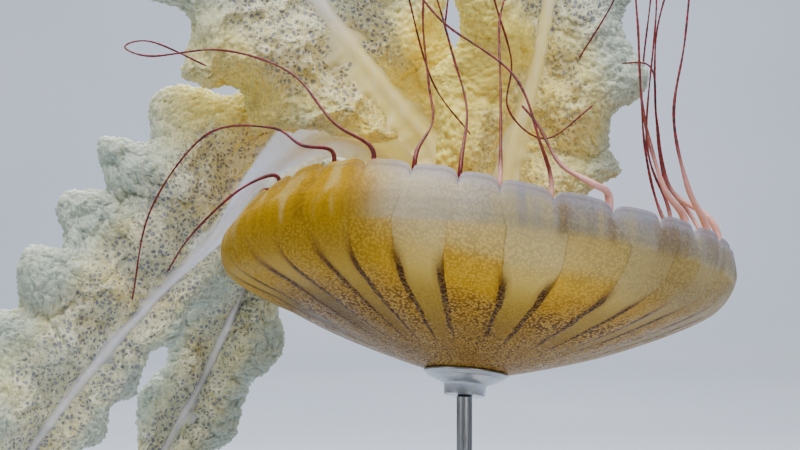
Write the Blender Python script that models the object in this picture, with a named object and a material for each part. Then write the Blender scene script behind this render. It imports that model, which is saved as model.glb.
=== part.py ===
"""Sea nettle jellyfish, life size, turned bell-down with its arms rising, on a plain rod stand.

Metres, +Z up. The origin is the centre of the stand's underside, on the floor.
The bell is worked out in its own frame, with its axis pointing from the crown to the mouth, and is
then banked and lifted onto the stand. Arms and tentacles run along smooth courses through a few
places that are given in millimetres from the centre of the bell's widest circle.
"""

import math

import bmesh
import bpy
import numpy as np

MM = 0.001
GAP = 0.3 * MM

# The bell: a shallow rounded cone, crown down, with a soft skirt that stands up from its widest circle.
BELL_RADIUS = 150 * MM
BELL_DEPTH = 65 * MM
DOME_SPREAD = 1.15
DOME_FULLNESS = 0.63
BELL_CENTRE = np.array([0.0, 0.0, 295.0]) * MM
BELL_LEAN = math.radians(11.0)
BELL_ROLL = math.radians(5.3)
RIM_RADIUS = 141 * MM
RIM_SWING = 5 * MM
SKIRT_CURVE = 1.4
SKIRT_HEIGHT = 13.5 * MM
SKIRT_LIFT = 16 * MM
LIFT_AT = math.radians(124.0)
LIFT_SPREAD = math.radians(36.0)
SAG = 6.4 * MM
SAG_SPREAD = math.radians(60.0)
SAG_FROM = 0.75
WALL_CROWN = 11 * MM
WALL_RIM = 2.0 * MM
WALL_TAPER = 0.8

# The margin: 32 lappets, with a cleft between each two.
LAPPETS = 32
LAPPET_LENGTH = 5 * MM
FIRST_CLEFT = math.radians(6.5)
CLEFT_DRIFT = math.radians(4.0)
DRIFT_AT = math.radians(80.0)
DRIFT_SPREAD = math.radians(14.0)
POINTS_PER_LAPPET = 3

# The mouth: a short four-cornered stalk on the floor of the bell.
MOUTH_WAIST = 19 * MM
MOUTH_TOP_RADIUS = 29 * MM
MOUTH_HEIGHT = 44 * MM
MOUTH_CORNERS = 0.08
CROWN_RING = 24 * MM

# The stand: a round base, one rod and a small cup under the crown.
BASE_RADIUS = 115 * MM
BASE_HEIGHT = 16 * MM
BASE_BEVEL = 2.5 * MM
BASE_SIDES = 36
ROD_RADIUS = 4.5 * MM
CUP_RADIUS = CROWN_RING
CUP_FOOT_RADIUS = 12 * MM
CUP_DEPTH = 9 * MM
CUP_LIP = 2.5 * MM
ROD_SIDES = 16

ARM_STEP = 15 * MM
TENTACLE_STEP = 23 * MM
TENTACLE_SIDES = 5
TENTACLE_ROOT = 2.1 * MM
TENTACLE_BODY = 0.85 * MM
TENTACLE_TIP = 0.55 * MM
TENTACLE_TAPER_LENGTH = 45 * MM
LONG_TENTACLE = 255 * MM

CURVE_SAMPLES = 24
SHARP_FROM = math.radians(50)


# ---- Tools of the trade ------------------------------------------------------------------------

def clear_scene():
    for old in list(bpy.data.objects):
        bpy.data.objects.remove(old, do_unlink=True)


def finish(name, colour, roughness, metallic=0.0):
    """One Principled material."""
    material = bpy.data.materials.new(name)
    material.use_nodes = True
    shader = material.node_tree.nodes["Principled BSDF"]
    shader.inputs["Base Color"].default_value = (*colour, 1.0)
    shader.inputs["Roughness"].default_value = roughness
    shader.inputs["Metallic"].default_value = metallic
    return material


def add_object(name, vertices, faces, material, smooth=True):
    """One named object from points and faces, with its faces turned outwards."""
    mesh = bpy.data.meshes.new(name)
    mesh.from_pydata([tuple(v) for v in vertices], [], faces)
    work = bmesh.new()
    work.from_mesh(mesh)
    bmesh.ops.recalc_face_normals(work, faces=work.faces)
    bmesh.ops.triangulate(work, faces=work.faces)
    work.to_mesh(mesh)
    work.free()
    mesh.materials.append(material)
    if smooth:
        mesh.shade_smooth()
        mesh.set_sharp_from_angle(angle=SHARP_FROM)
    thing = bpy.data.objects.new(name, mesh)
    bpy.context.scene.collection.objects.link(thing)
    return thing


def loft(name, rings, material, smooth=True):
    """A closed body through equal rings, with a point in the middle of each end."""
    count = len(rings[0])
    vertices = [p for ring in rings for p in ring]
    faces = []
    for row in range(len(rings) - 1):
        for i in range(count):
            j = (i + 1) % count
            a = row * count
            faces.append((a + i, a + j, a + count + j, a + count + i))
    for row, middle in ((0, np.mean(rings[0], axis=0)), (len(rings) - 1, np.mean(rings[-1], axis=0))):
        vertices.append(middle)
        tip = len(vertices) - 1
        for i in range(count):
            faces.append((row * count + i, row * count + (i + 1) % count, tip))
    return add_object(name, vertices, faces, material, smooth)


def unit(vector):
    return vector / np.linalg.norm(vector)


def bell_to_world(point):
    """Lean the bell away from the front, roll it to the right and lift it onto the stand."""
    x, y, z = point
    lean_cos, lean_sin = math.cos(BELL_LEAN), math.sin(BELL_LEAN)
    roll_cos, roll_sin = math.cos(BELL_ROLL), math.sin(BELL_ROLL)
    y, z = y * lean_cos + z * lean_sin, z * lean_cos - y * lean_sin
    x, z = x * roll_cos + z * roll_sin, z * roll_cos - x * roll_sin
    return np.array([x, y, z]) + BELL_CENTRE


BELL_AXIS = bell_to_world((0.0, 0.0, 1.0)) - BELL_CENTRE


def around(radius, angle, height):
    """A place in the bell's own frame: angles run from +X through the front."""
    return np.array([radius * math.cos(angle), -radius * math.sin(angle), height])


def smooth_course(stops, step):
    """Points at even distances along a smooth curve through the stops."""
    stops = [np.array(s, dtype=float) for s in stops]
    ends = [2 * stops[0] - stops[1]] + stops + [2 * stops[-1] - stops[-2]]
    fine = []
    for i in range(1, len(ends) - 2):
        p0, p1, p2, p3 = ends[i - 1:i + 3]
        for t in np.linspace(0, 1, CURVE_SAMPLES, endpoint=False):
            fine.append(0.5 * (2 * p1 + (p2 - p0) * t + (2 * p0 - 5 * p1 + 4 * p2 - p3) * t ** 2
                               + (3 * p1 - 3 * p2 + p3 - p0) * t ** 3))
    fine.append(stops[-1])
    fine = np.array(fine)
    distance = np.concatenate([[0], np.cumsum(np.linalg.norm(np.diff(fine, axis=0), axis=1))])
    count = max(3, int(round(distance[-1] / step)) + 1)
    even = np.linspace(0, distance[-1], count)
    return np.array([np.interp(even, distance, fine[:, k]) for k in range(3)]).T, even


def directions(course):
    return [unit(d) for d in np.gradient(course, axis=0)]


def from_bell(places):
    """Places given in millimetres from the bell's centre, as world points."""
    return [BELL_CENTRE + np.array(p) * MM for p in places]


# ---- Bell --------------------------------------------------------------------------------------

def swell(angle, centre, spread):
    """1 at the centre, and easing to 0 round the bell to both sides of it."""
    off = (angle - centre + math.pi) % (2 * math.pi) - math.pi
    return math.exp(-(off / spread) ** 2)


def cleft_angle(index):
    """The clefts are nearly evenly spaced, and drift a little where the front margin is stretched."""
    even = FIRST_CLEFT + 2 * math.pi * index / LAPPETS
    return even + CLEFT_DRIFT * swell(even, DRIFT_AT, DRIFT_SPREAD)


def margin_angles():
    angles = []
    for k in range(LAPPETS):
        low, high = cleft_angle(k), cleft_angle(k + 1)
        angles += [low + (high - low) * j / POINTS_PER_LAPPET for j in range(POINTS_PER_LAPPET)]
    return angles


def skirt_height(angle):
    """The skirt stands highest at the left of the front."""
    return SKIRT_HEIGHT + SKIRT_LIFT * swell(angle, LIFT_AT, LIFT_SPREAD)


def rim_radius(angle):
    """The rim is drawn in at the left and opens out at the right."""
    return RIM_RADIUS + RIM_SWING * math.cos(angle)


def dome_height(share):
    return -BELL_DEPTH * (1 - share ** DOME_SPREAD) ** DOME_FULLNESS


def outer_profile(share, angle):
    """Radius and height of the outer skin. share is 0 at the crown, 1 at the widest circle, 2 at
    the rim. The widest circle sags at the left."""
    sag = SAG * swell(angle, math.pi, SAG_SPREAD)
    if share <= 1:
        return BELL_RADIUS * share, dome_height(share) - sag * max(0.0, share - SAG_FROM) / (1 - SAG_FROM)
    rise = share - 1
    radius = BELL_RADIUS - (BELL_RADIUS - rim_radius(angle)) * rise ** SKIRT_CURVE
    return radius, skirt_height(angle) * rise - sag * (1 - rise)


def wall(share):
    return WALL_RIM + (WALL_CROWN - WALL_RIM) * max(0.0, 1 - share) ** WALL_TAPER


def inner_profile(share, angle):
    """The subumbrella lies inside the outer skin by the wall's thickness, square to the skin."""
    if share == 0:
        return 0.0, dome_height(0) + wall(0)
    before = outer_profile(share - 0.01, angle)
    after = outer_profile(share + 0.01, angle) if share < 1.99 else outer_profile(share, angle)
    run, climb = after[0] - before[0], after[1] - before[1]
    length = math.hypot(run, climb)
    radius, height = outer_profile(share, angle)
    return radius - climb / length * wall(share), height + run / length * wall(share)


# The rings of each skin: a share of the profile, and how many of the margin's points one step skips.
OUTER_RINGS = ((CROWN_RING / BELL_RADIUS, 4), (0.36, 2), (0.56, 2), (0.75, 2), (0.88, 1), (0.96, 1),
               (1.0, 1), (1.45, 1))
INNER_RINGS = ((CROWN_RING / BELL_RADIUS, 4), (0.4, 2), (0.68, 2), (0.9, 1), (1.0, 1), (1.5, 1))


def stitch(faces, coarse, fine):
    """Join two rings of point numbers, where the fine one has as many points or a multiple."""
    ratio = len(fine) // len(coarse)
    for i in range(len(coarse)):
        a, b = coarse[i], coarse[(i + 1) % len(coarse)]
        for j in range(ratio):
            c, d = fine[i * ratio + j], fine[(i * ratio + j + 1) % len(fine)]
            if j < (ratio + 1) // 2:
                faces.append((a, d, c))
            else:
                faces.append((b, d, c))
            if j == (ratio + 1) // 2 - 1:
                faces.append((a, b, d))


def make_bell(material):
    angles = margin_angles()
    vertices, faces = [], []

    def ring(profile, share, every, extra=None):
        numbers = []
        for i in range(0, len(angles), every):
            radius, height = profile(share, angles[i])
            height += extra(i) if extra else 0
            numbers.append(len(vertices))
            vertices.append(bell_to_world(around(radius, angles[i], height)))
        return numbers

    def lappet(i):
        return 0.0 if i % POINTS_PER_LAPPET == 0 else LAPPET_LENGTH

    sides = []
    for profile, layout in ((outer_profile, OUTER_RINGS), (inner_profile, INNER_RINGS)):
        vertices.append(bell_to_world(around(0.0, 0.0, profile(0, 0.0)[1])))
        rings = [[len(vertices) - 1]]
        rings += [ring(profile, share, every) for share, every in layout]
        rings.append(ring(profile, 2.0, 1, lappet))
        first = rings[1]
        for i in range(len(first)):
            faces.append((rings[0][0], first[i], first[(i + 1) % len(first)]))
        for low, high in zip(rings[1:-1], rings[2:]):
            stitch(faces, low, high)
        sides.append(rings[-1])
    stitch(faces, sides[0], sides[1])
    return add_object("bell", vertices, faces, material)


# ---- Mouth -------------------------------------------------------------------------------------

# Shares of the stalk's height, each with the radius there.
MOUTH_PROFILE = ((0.3, MOUTH_WAIST), (0.7, MOUTH_WAIST), (0.92, MOUTH_TOP_RADIUS),
                 (1.0, MOUTH_TOP_RADIUS))


def make_mouth(material):
    """A stalk with four soft corners. Its foot follows the floor of the bell, a gap above it."""
    angles = margin_angles()[::4]
    floor_height = inner_profile(CROWN_RING / BELL_RADIUS, 0.0)
    top = inner_profile(0, 0.0)[1] + MOUTH_HEIGHT
    foot = [around(floor_height[0], a, floor_height[1] + GAP) for a in angles]
    rings = [foot]
    for share, radius in MOUTH_PROFILE:
        height = foot[0][2] + (top - foot[0][2]) * share
        corner = [1 + MOUTH_CORNERS * math.cos(4 * a) for a in angles]
        rings.append([around(radius * c, a, height) for a, c in zip(angles, corner)])
    vertices = [bell_to_world(p) for ring in rings for p in ring]
    vertices.append(bell_to_world(around(0.0, 0.0, inner_profile(0, 0.0)[1] + GAP)))
    vertices.append(bell_to_world(around(0.0, 0.0, top)))
    count = len(angles)
    faces = []
    for row in range(len(rings) - 1):
        for i in range(count):
            j = (i + 1) % count
            low, high = row * count, (row + 1) * count
            faces.append((low + i, low + j, high + j, high + i))
    last = (len(rings) - 1) * count
    for i in range(count):
        j = (i + 1) % count
        faces.append((i, j, len(vertices) - 2))
        faces.append((last + i, last + j, len(vertices) - 1))
    return add_object("mouth_stalk", vertices, faces, material)


# ---- Oral arms ---------------------------------------------------------------------------------

# Each arm leaves the mouth's top at (across, depth) and runs through its stops, in millimetres from
# the bell's centre. turn is how far its web has turned about the course, in degrees. Each edge has the
# half width of the clear web, the share of the arm where its frill starts, the frill's widths and half
# thickness, and the number of lobes along it.
ARMS = {
    "left": {
        "leaves": (-8, 10), "turn": (0, 0, 0, 6, 14, 24, 38),
        "stops": ((-40, 58, 58), (-84, 76, 80), (-124, 80, 58), (-160, 76, 18), (-191, 66, -16),
                  (-223, 54, -52), (-248, 42, -84), (-269, 34, -114), (-288, 30, -148), (-304, 28, -180)),
        "upper": {"web": (10, 26, 14, 12, 4), "from": 0.31,
                  "width": (44, 70, 62, 54, 30), "half": 20, "lobes": 8},
        "lower": {"web": (9, 9, 9, 8, 4), "from": 0.44,
                  "width": (12, 22, 26, 18), "half": 14, "lobes": 7},
    },
    "far": {
        "leaves": (-4, 21), "turn": (0, 0, 10, 25, -10, -35),
        "stops": ((-34, 84, 52), (-76, 122, 60), (-117, 148, 36), (-143, 154, -4), (-157, 152, -38),
                  (-172, 150, -72), (-192, 146, -110), (-210, 142, -146), (-222, 138, -180)),
        "upper": {"web": (8, 8, 8, 4), "from": 0.34,
                  "width": (12, 28, 22), "half": 15, "lobes": 6},
        "lower": {"web": (8, 8, 8, 4), "from": 0.40,
                  "width": (12, 33, 24), "half": 15, "lobes": 5},
    },
    "upper": {
        "leaves": (-6, -1), "turn": (0, 0, 0, -10, -30, -50),
        "stops": ((-20, 32, 64), (-42, 40, 96), (-66, 42, 126), (-88, 42, 155), (-108, 42, 186),
                  (-122, 40, 220), (-128, 38, 256), (-126, 36, 292), (-118, 34, 322)),
        "upper": {"web": (9, 12, 16, 12, 4), "from": 0.12,
                  "width": (22, 46, 44, 22), "half": 18, "lobes": 6},
        "lower": {"web": (9, 10, 18, 12, 4), "from": 0.30,
                  "width": (34, 66, 80, 56, 26), "half": 19, "lobes": 6},
    },
    "right": {
        "leaves": (10, -12), "turn": (0, 0, -4, -14, -34, -58),
        "stops": ((20, -10, 66), (30, -10, 98), (38, -10, 134), (44, -10, 170), (46, -10, 206), (42, -10, 244),
                  (34, -10, 282), (28, -10, 312)),
        "upper": {"web": (9, 14, 14, 10, 4), "from": 0.06,
                  "width": (42, 48, 40, 34, 18), "half": 17, "lobes": 6},
        "lower": {"web": (9, 12, 12, 9, 4), "from": 0.10,
                  "width": (36, 44, 40, 20), "half": 16, "lobes": 5},
    },
}
ARM_RISE = 12 * MM
LENGTHS_PER_FRILL = 2
RUFFLE = 8 * MM
LOBE_DEPTH = 0.16
WEB_EDGE = 1.6 * MM
RIB_HALF = 4.5 * MM
FRILL_ROOT_HALF = 3.5 * MM
FRILL_START = 0.35
FRILL_RUN_IN = 0.2
FRILL_END = 0.16
FRILL_RUN_OUT = 0.3
FRILL_MIDDLE = 0.52
FRILL_BEARINGS = (-105, -60, -20, 20, 60, 105)


def along(values, share):
    """A value that runs evenly through the given ones, from the start to the end."""
    return np.interp(share, np.linspace(0, 1, len(values)), values)


def arm_frames(arm):
    """Places along an arm, each with the direction across its web and the one through it."""
    across, depth = arm["leaves"]
    top = inner_profile(0, 0.0)[1] + MOUTH_HEIGHT + GAP
    base = bell_to_world((across * MM, depth * MM, top))
    rise = base + BELL_AXIS * ARM_RISE
    course, distance = smooth_course([base, rise] + from_bell(arm["stops"]), ARM_STEP)
    heads = directions(course)
    heads[0] = unit(BELL_AXIS)
    shares = distance / distance[-1]
    frames = []
    for place, head, share in zip(course, heads, shares):
        flat = unit(np.cross(head, (0.0, -1.0, 0.0)))
        back = np.cross(flat, head)
        turn = math.radians(along(arm["turn"], share))
        side = flat * math.cos(turn) + back * math.sin(turn)
        frames.append((place, head, side, np.cross(side, head)))
    return frames, shares


def section(frame, outline):
    place, head, side, through = frame
    return [place + side * u + through * v for u, v in outline]


def cut_back(frame, distance):
    place, head, side, through = frame
    return (place + head * distance, head, side, through)


def make_arm(name, arm, web_material, frill_material):
    frames, shares = arm_frames(arm)
    web = {edge: [along(arm[edge]["web"], s) * MM for s in shares] for edge in ("upper", "lower")}
    rings = []
    for frame, up, down in zip(frames, web["upper"], web["lower"]):
        outline = ((-down, -WEB_EDGE), (0, -RIB_HALF), (up, -WEB_EDGE), (up, WEB_EDGE), (0, RIB_HALF),
                   (-down, WEB_EDGE))
        rings.append(section(frame, outline))
    loft("arm_%s_web" % name, rings, web_material)
    for edge, sign in (("upper", 1), ("lower", -1)):
        frill = arm[edge]
        first = int(np.searchsorted(shares, frill["from"]))
        spans = np.array_split(np.arange(first, len(frames)), LENGTHS_PER_FRILL)
        for part, span in enumerate(spans):
            rows = list(span) if part == 0 else [spans[part - 1][-1]] + list(span)
            rings = []
            for row in rows:
                share = (shares[row] - frill["from"]) / (1 - frill["from"])
                share = max(0.0, share)
                wave = 2 * math.pi * frill["lobes"] * share
                ends = min(1.0, FRILL_START + share / FRILL_RUN_IN,
                           FRILL_END + (1 - share) / FRILL_RUN_OUT)
                width = along(frill["width"], share) * MM * ends * (1 + LOBE_DEPTH * math.sin(wave))
                half = frill["half"] * MM * ends * (1 + LOBE_DEPTH * math.cos(wave + 1.0))
                sway = RUFFLE * ends * math.sin(wave * 0.5 + 0.8)
                root = web[edge][row] + GAP
                profile = [(root, -FRILL_ROOT_HALF * ends)]
                for bearing in FRILL_BEARINGS:
                    angle = math.radians(bearing)
                    reach = FRILL_MIDDLE + (1 - FRILL_MIDDLE) * math.cos(angle)
                    profile.append((root + width * reach, half * math.sin(angle) + sway * reach))
                profile.append((root, FRILL_ROOT_HALF * ends))
                outline = [(sign * u, v) for u, v in profile]
                frame = frames[row]
                if part > 0 and row == rows[0]:
                    frame = cut_back(frame, GAP)
                rings.append(section(frame, outline))
            loft("arm_%s_%s_frill_%d" % (name, edge, part + 1), rings, frill_material)


# ---- Tentacles ---------------------------------------------------------------------------------

# The courses that lie towards the front, by cleft number: places in millimetres from the bell's centre.
FRONT_COURSES = {
    13: ((-132, -62, 45), (-159, -58, 20), (-174, -50, -2)),
    11: ((-96, -98, 68), (-113, -85, 78), (-150, -65, 75), (-183, -45, 34), (-195, -35, -18)),
    10: ((-79, -102, 80), (-103, -82, 108), (-142, -60, 122), (-183, -45, 120), (-199, -38, 126),
         (-185, -26, 130), (-153, -22, 116)),
    9: ((-26, -82, 82), (-28, -68, 103), (-31, -52, 143), (-26, -48, 178), (-12, -46, 222)),
    8: ((-8, -90, 88), (-15, -74, 118), (-26, -66, 157), (-40, -60, 190), (-58, -56, 230)),
    7: ((10, -92, 97), (11, -66, 139), (20, -54, 170), (13, -46, 186), (8, -38, 160), (19, -36, 119),
        (17, -38, 91), (38, -40, 74), (66, -36, 94)),
    6: ((29, -122, 68), (16, -104, 105), (-21, -86, 135), (-40, -72, 162), (-42, -58, 170), (-38, -40, 150),
        (-25, -32, 106), (-3, -30, 76)),
    5: ((56, -124, 47), (40, -110, 58), (30, -92, 79), (21, -84, 91)),
    3: ((97, -92, 46), (88, -76, 88), (87, -60, 139), (84, -48, 176), (76, -38, 151), (57, -31, 119)),
    2: ((113, -70, 47), (107, -60, 86), (115, -48, 129), (121, -36, 181), (121, -28, 213), (115, -20, 250)),
    1: ((129, -36, 31), (110, -24, 47), (103, -20, 86), (99, -28, 115), (80, -36, 117)),
    30: ((118, 62, 30), (108, 66, 70), (106, 68, 115), (112, 70, 170), (118, 74, 235)),
    31: ((131, 36, 32), (114, 38, 60), (111, 44, 135), (123, 50, 193), (114, 60, 256)),
    29: ((126, 90, 34), (112, 92, 79), (119, 98, 168), (117, 110, 244)),
}
ORGAN_EVERY = 4
DRAWN_IN = range(14, 22)
DRAWN_IN_REACH = 42 * MM
DRAWN_IN_DROP = 30 * MM
DRAWN_IN_TURN = 0.16
TRAIL_FIRST = 22
TRAIL_LAST = 27
TRAIL_LEFT = -12 * MM
TRAIL_RIGHT = 70 * MM
TRAIL_DEPTH = 92 * MM
TRAIL_RISE = 235 * MM
TRAIL_START = 12 * MM
TRAIL_SWING = 9 * MM
TRAIL_SWAY = 6 * MM
DRAWN_IN_INSET = 8 * MM
DRAWN_IN_CREST = 9 * MM
ROOT_DEPTH = 7 * MM
ROOT_EXIT = 10 * MM
ROOT_CLEARANCE = 2.0 * MM


def root_place(cleft, rise):
    """A place just inside the rim at a cleft, rise above or below the cleft's edge."""
    angle = cleft_angle(cleft)
    radius = rim_radius(angle) - WALL_RIM - TENTACLE_ROOT - ROOT_CLEARANCE
    return bell_to_world(around(radius, angle, skirt_height(angle) + rise))


def drawn_in_course(cleft):
    """Shortened tentacles fold over the rim into the bowl, each a little further round than its root."""
    angle = cleft_angle(cleft)
    stops = []
    for share in (0.35, 0.7, 1.0):
        radius = rim_radius(angle) - DRAWN_IN_INSET - DRAWN_IN_REACH * share
        turn = angle + DRAWN_IN_TURN * math.sin(1.7 * cleft) * share
        height = skirt_height(angle) + DRAWN_IN_CREST - DRAWN_IN_DROP * share ** 2
        stops.append(bell_to_world(around(radius, turn, height)))
    return stops


def trailing_course(cleft):
    """The tentacles at the back draw together and trail up behind the arms, each in its own lane."""
    lane = (TRAIL_LAST - cleft) / (TRAIL_LAST - TRAIL_FIRST)
    across = TRAIL_LEFT + (TRAIL_RIGHT - TRAIL_LEFT) * (1 - lane)
    start = root_place(cleft, TRAIL_START)
    stops = []
    for share in (0.22, 0.5, 0.75, 1.0):
        swing = TRAIL_SWING * math.sin(4.0 * share + 1.3 * cleft)
        sway = TRAIL_SWAY * math.sin(1.1 * cleft + 3 * share)
        gather = min(1.0, 2.2 * share)
        x = start[0] + (across - start[0]) * gather + swing
        y = start[1] + (TRAIL_DEPTH - start[1]) * gather + sway
        stops.append(np.array([x, y, start[2] + TRAIL_RISE * share * (1 + 0.1 * math.sin(2.1 * cleft))]))
    return stops


def make_tentacle(number, cleft, material):
    """One thread from the cleft's root. A long one is parted in the middle by a thin cut."""
    if cleft in FRONT_COURSES:
        stops = from_bell(FRONT_COURSES[cleft])
    elif cleft in DRAWN_IN:
        stops = drawn_in_course(cleft)
    else:
        stops = trailing_course(cleft)
    root = [root_place(cleft, -ROOT_DEPTH), root_place(cleft, ROOT_EXIT)]
    course, distance = smooth_course(root + stops, TENTACLE_STEP)
    heads = directions(course)
    side = unit(np.cross(heads[0], (0.3, -1.0, 0.2)))
    rings = []
    for place, head, travelled in zip(course, heads, distance):
        side = unit(side - head * np.dot(side, head))
        through = np.cross(head, side)
        taper = math.exp(-(travelled / TENTACLE_TAPER_LENGTH) ** 1.5)
        slim = TENTACLE_BODY + (TENTACLE_TIP - TENTACLE_BODY) * travelled / distance[-1]
        radius = slim + (TENTACLE_ROOT - slim) * taper
        ring = []
        for k in range(TENTACLE_SIDES):
            angle = 2 * math.pi * k / TENTACLE_SIDES
            ring.append(place + (side * math.cos(angle) + through * math.sin(angle)) * radius)
        rings.append(ring)
    name = "tentacle_%02d" % number
    if distance[-1] <= LONG_TENTACLE:
        loft(name, rings, material)
        return
    middle = len(rings) // 2
    cut = [point + heads[middle] * GAP for point in rings[middle]]
    loft(name + "_1", rings[:middle + 1], material)
    loft(name + "_2", [cut] + rings[middle + 1:], material)


# ---- Stand -------------------------------------------------------------------------------------

def make_stand(material):
    """A turned steel disc, a rod and a shallow cup that follows the crown."""
    angles = margin_angles()[::4]
    rim = outer_profile(CUP_RADIUS / BELL_RADIUS, 0.0)
    crown = outer_profile(0, 0.0)[1]
    foot_height = crown - CUP_DEPTH
    lip = [around(CUP_RADIUS, a, rim[1] - GAP) for a in angles]
    edge = [around(CUP_RADIUS, a, rim[1] - GAP - CUP_LIP) for a in angles]
    foot = [around(CUP_FOOT_RADIUS, a, foot_height) for a in angles]
    rings = [[bell_to_world(p) for p in ring] for ring in (lip, edge, foot)]
    vertices = [p for ring in rings for p in ring]
    vertices.append(bell_to_world(around(0.0, 0.0, crown - GAP)))
    vertices.append(bell_to_world(around(0.0, 0.0, foot_height)))
    count = len(angles)
    faces = []
    for row in range(2):
        for i in range(count):
            j = (i + 1) % count
            low, high = row * count, (row + 1) * count
            faces.append((low + i, low + j, high + j, high + i))
    for i in range(count):
        j = (i + 1) % count
        faces.append((i, j, len(vertices) - 2))
        faces.append((2 * count + i, 2 * count + j, len(vertices) - 1))
    add_object("stand_cup", vertices, faces, material)

    seat = bell_to_world(around(0.0, 0.0, foot_height))
    ring_low, ring_high = [], []
    for k in range(ROD_SIDES):
        angle = 2 * math.pi * k / ROD_SIDES
        x = seat[0] + ROD_RADIUS * math.cos(angle)
        y = seat[1] + ROD_RADIUS * math.sin(angle)
        drop = (BELL_AXIS[0] * (x - seat[0]) + BELL_AXIS[1] * (y - seat[1])) / BELL_AXIS[2]
        ring_low.append(np.array([x, y, BASE_HEIGHT + GAP]))
        ring_high.append(np.array([x, y, seat[2] - drop - GAP]))
    loft("stand_rod", [ring_low, ring_high], material)

    rings = []
    for radius, height in ((BASE_RADIUS, 0.0), (BASE_RADIUS, BASE_HEIGHT - BASE_BEVEL),
                           (BASE_RADIUS - BASE_BEVEL, BASE_HEIGHT)):
        turns = [2 * math.pi * k / BASE_SIDES for k in range(BASE_SIDES)]
        rings.append([np.array([radius * math.cos(t), radius * math.sin(t), height]) for t in turns])
    loft("stand_base", rings, material)


def build():
    clear_scene()
    bell_skin = finish("bell_jelly", (0.62, 0.44, 0.16), 0.35)
    mouth_skin = finish("mouth_jelly", (0.72, 0.66, 0.5), 0.4)
    web_skin = finish("arm_web_jelly", (0.74, 0.74, 0.82), 0.3)
    frill_skin = finish("arm_frill_jelly", (0.86, 0.82, 0.55), 0.45)
    tentacle_skin = finish("tentacle_jelly", (0.32, 0.06, 0.09), 0.35)
    steel = finish("stand_steel", (0.62, 0.62, 0.64), 0.32, 1.0)
    make_bell(bell_skin)
    make_mouth(mouth_skin)
    for name, arm in ARMS.items():
        make_arm(name, arm, web_skin, frill_skin)
    number = 0
    for cleft in range(LAPPETS):
        if cleft % ORGAN_EVERY == 0 and cleft not in FRONT_COURSES:
            continue
        number += 1
        make_tentacle(number, cleft, tentacle_skin)
    make_stand(steel)


build()
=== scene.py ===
import math

import bpy
import numpy as np
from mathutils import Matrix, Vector


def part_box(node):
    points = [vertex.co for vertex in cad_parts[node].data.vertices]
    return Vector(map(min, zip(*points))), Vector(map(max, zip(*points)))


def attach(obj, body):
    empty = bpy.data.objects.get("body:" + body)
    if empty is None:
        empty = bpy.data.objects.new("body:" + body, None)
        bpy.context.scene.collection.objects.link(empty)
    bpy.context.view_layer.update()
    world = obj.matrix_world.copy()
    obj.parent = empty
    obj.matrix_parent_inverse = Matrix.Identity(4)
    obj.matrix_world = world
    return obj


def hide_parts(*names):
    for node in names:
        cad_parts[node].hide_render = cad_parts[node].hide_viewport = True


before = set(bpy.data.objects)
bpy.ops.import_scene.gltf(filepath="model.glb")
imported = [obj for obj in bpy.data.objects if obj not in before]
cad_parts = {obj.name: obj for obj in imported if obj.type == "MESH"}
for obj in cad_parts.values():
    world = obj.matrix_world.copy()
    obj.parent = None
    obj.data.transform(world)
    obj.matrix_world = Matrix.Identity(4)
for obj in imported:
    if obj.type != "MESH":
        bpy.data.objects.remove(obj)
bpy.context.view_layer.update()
MM = 0.001


# ---- Stand base --------------------------------------------------------------------------------
# A turned steel disc that the whole model stands on. Its upper edge is rounded, a shallow groove
# runs round the top, and the face keeps the fine rings of the lathe.

def start_clean():
    """Leave edit mode with nothing selected, so that an operator only meets the piece in hand."""
    if bpy.context.object and bpy.context.object.mode != "OBJECT":
        bpy.ops.object.mode_set(mode="OBJECT")
    bpy.ops.object.select_all(action="DESELECT")


def pick(piece):
    start_clean()
    piece.select_set(True)
    bpy.context.view_layer.objects.active = piece


def settle(piece, name):
    """Put the piece's place into its mesh, name it and let it ride."""
    pick(piece)
    bpy.ops.object.transform_apply(location=True, rotation=True, scale=True)
    bpy.ops.object.shade_smooth_by_angle(angle=math.radians(45))
    piece.name = name
    piece.data.name = name
    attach(piece, "root")
    return piece


def linear(red, green, blue):
    """A colour as the eye reads it, 0 to 255, in the linear values that shaders use."""
    made = []
    for value in (red, green, blue):
        value = value / 255
        made.append(value / 12.92 if value <= 0.04045 else ((value + 0.055) / 1.055) ** 2.4)
    return (*made, 1.0)


def new_material(name):
    material = bpy.data.materials.new(name)
    material.use_nodes = True
    return material, material.node_tree, material.node_tree.nodes["Principled BSDF"]


class Value:
    """What a shader socket gives. Sums and products of values make Math nodes."""

    def __init__(self, socket):
        self.socket = socket

    def __add__(self, other):
        return maths("ADD", self, other)

    def __sub__(self, other):
        return maths("SUBTRACT", self, other)

    def __rsub__(self, other):
        return maths("SUBTRACT", other, self)

    def __mul__(self, other):
        return maths("MULTIPLY", self, other)

    def __truediv__(self, other):
        return maths("DIVIDE", self, other)

    def __abs__(self):
        return maths("ABSOLUTE", self)


def link(value, socket):
    """Feed a socket with a value, or set it to a fixed number or colour."""
    if isinstance(value, Value):
        socket.id_data.links.new(value.socket, socket)
    elif value is not None:
        socket.default_value = value


def set_fixed(node, values):
    """Set sockets that are the same all over the surface."""
    for name, value in values.items():
        node.inputs[name].default_value = value


def node_beside(value, kind):
    """A new node in the same material as the value."""
    return value.socket.id_data.nodes.new("ShaderNode" + kind)


def maths(operation, a, b=None, clamp=False):
    node = node_beside(a if isinstance(a, Value) else b, "Math")
    node.operation = operation
    node.use_clamp = clamp
    link(a, node.inputs[0])
    link(b, node.inputs[1])
    return Value(node.outputs[0])


def spread(value, low, high, to_low=0.0, to_high=1.0, smooth=True):
    """Map a range of a value onto another range, with soft ends."""
    node = node_beside(value, "MapRange")
    node.interpolation_type = "SMOOTHSTEP" if smooth else "LINEAR"
    link(value, node.inputs["Value"])
    set_fixed(node, {"From Min": low, "From Max": high, "To Min": to_low, "To Max": to_high})
    return Value(node.outputs["Result"])


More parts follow.
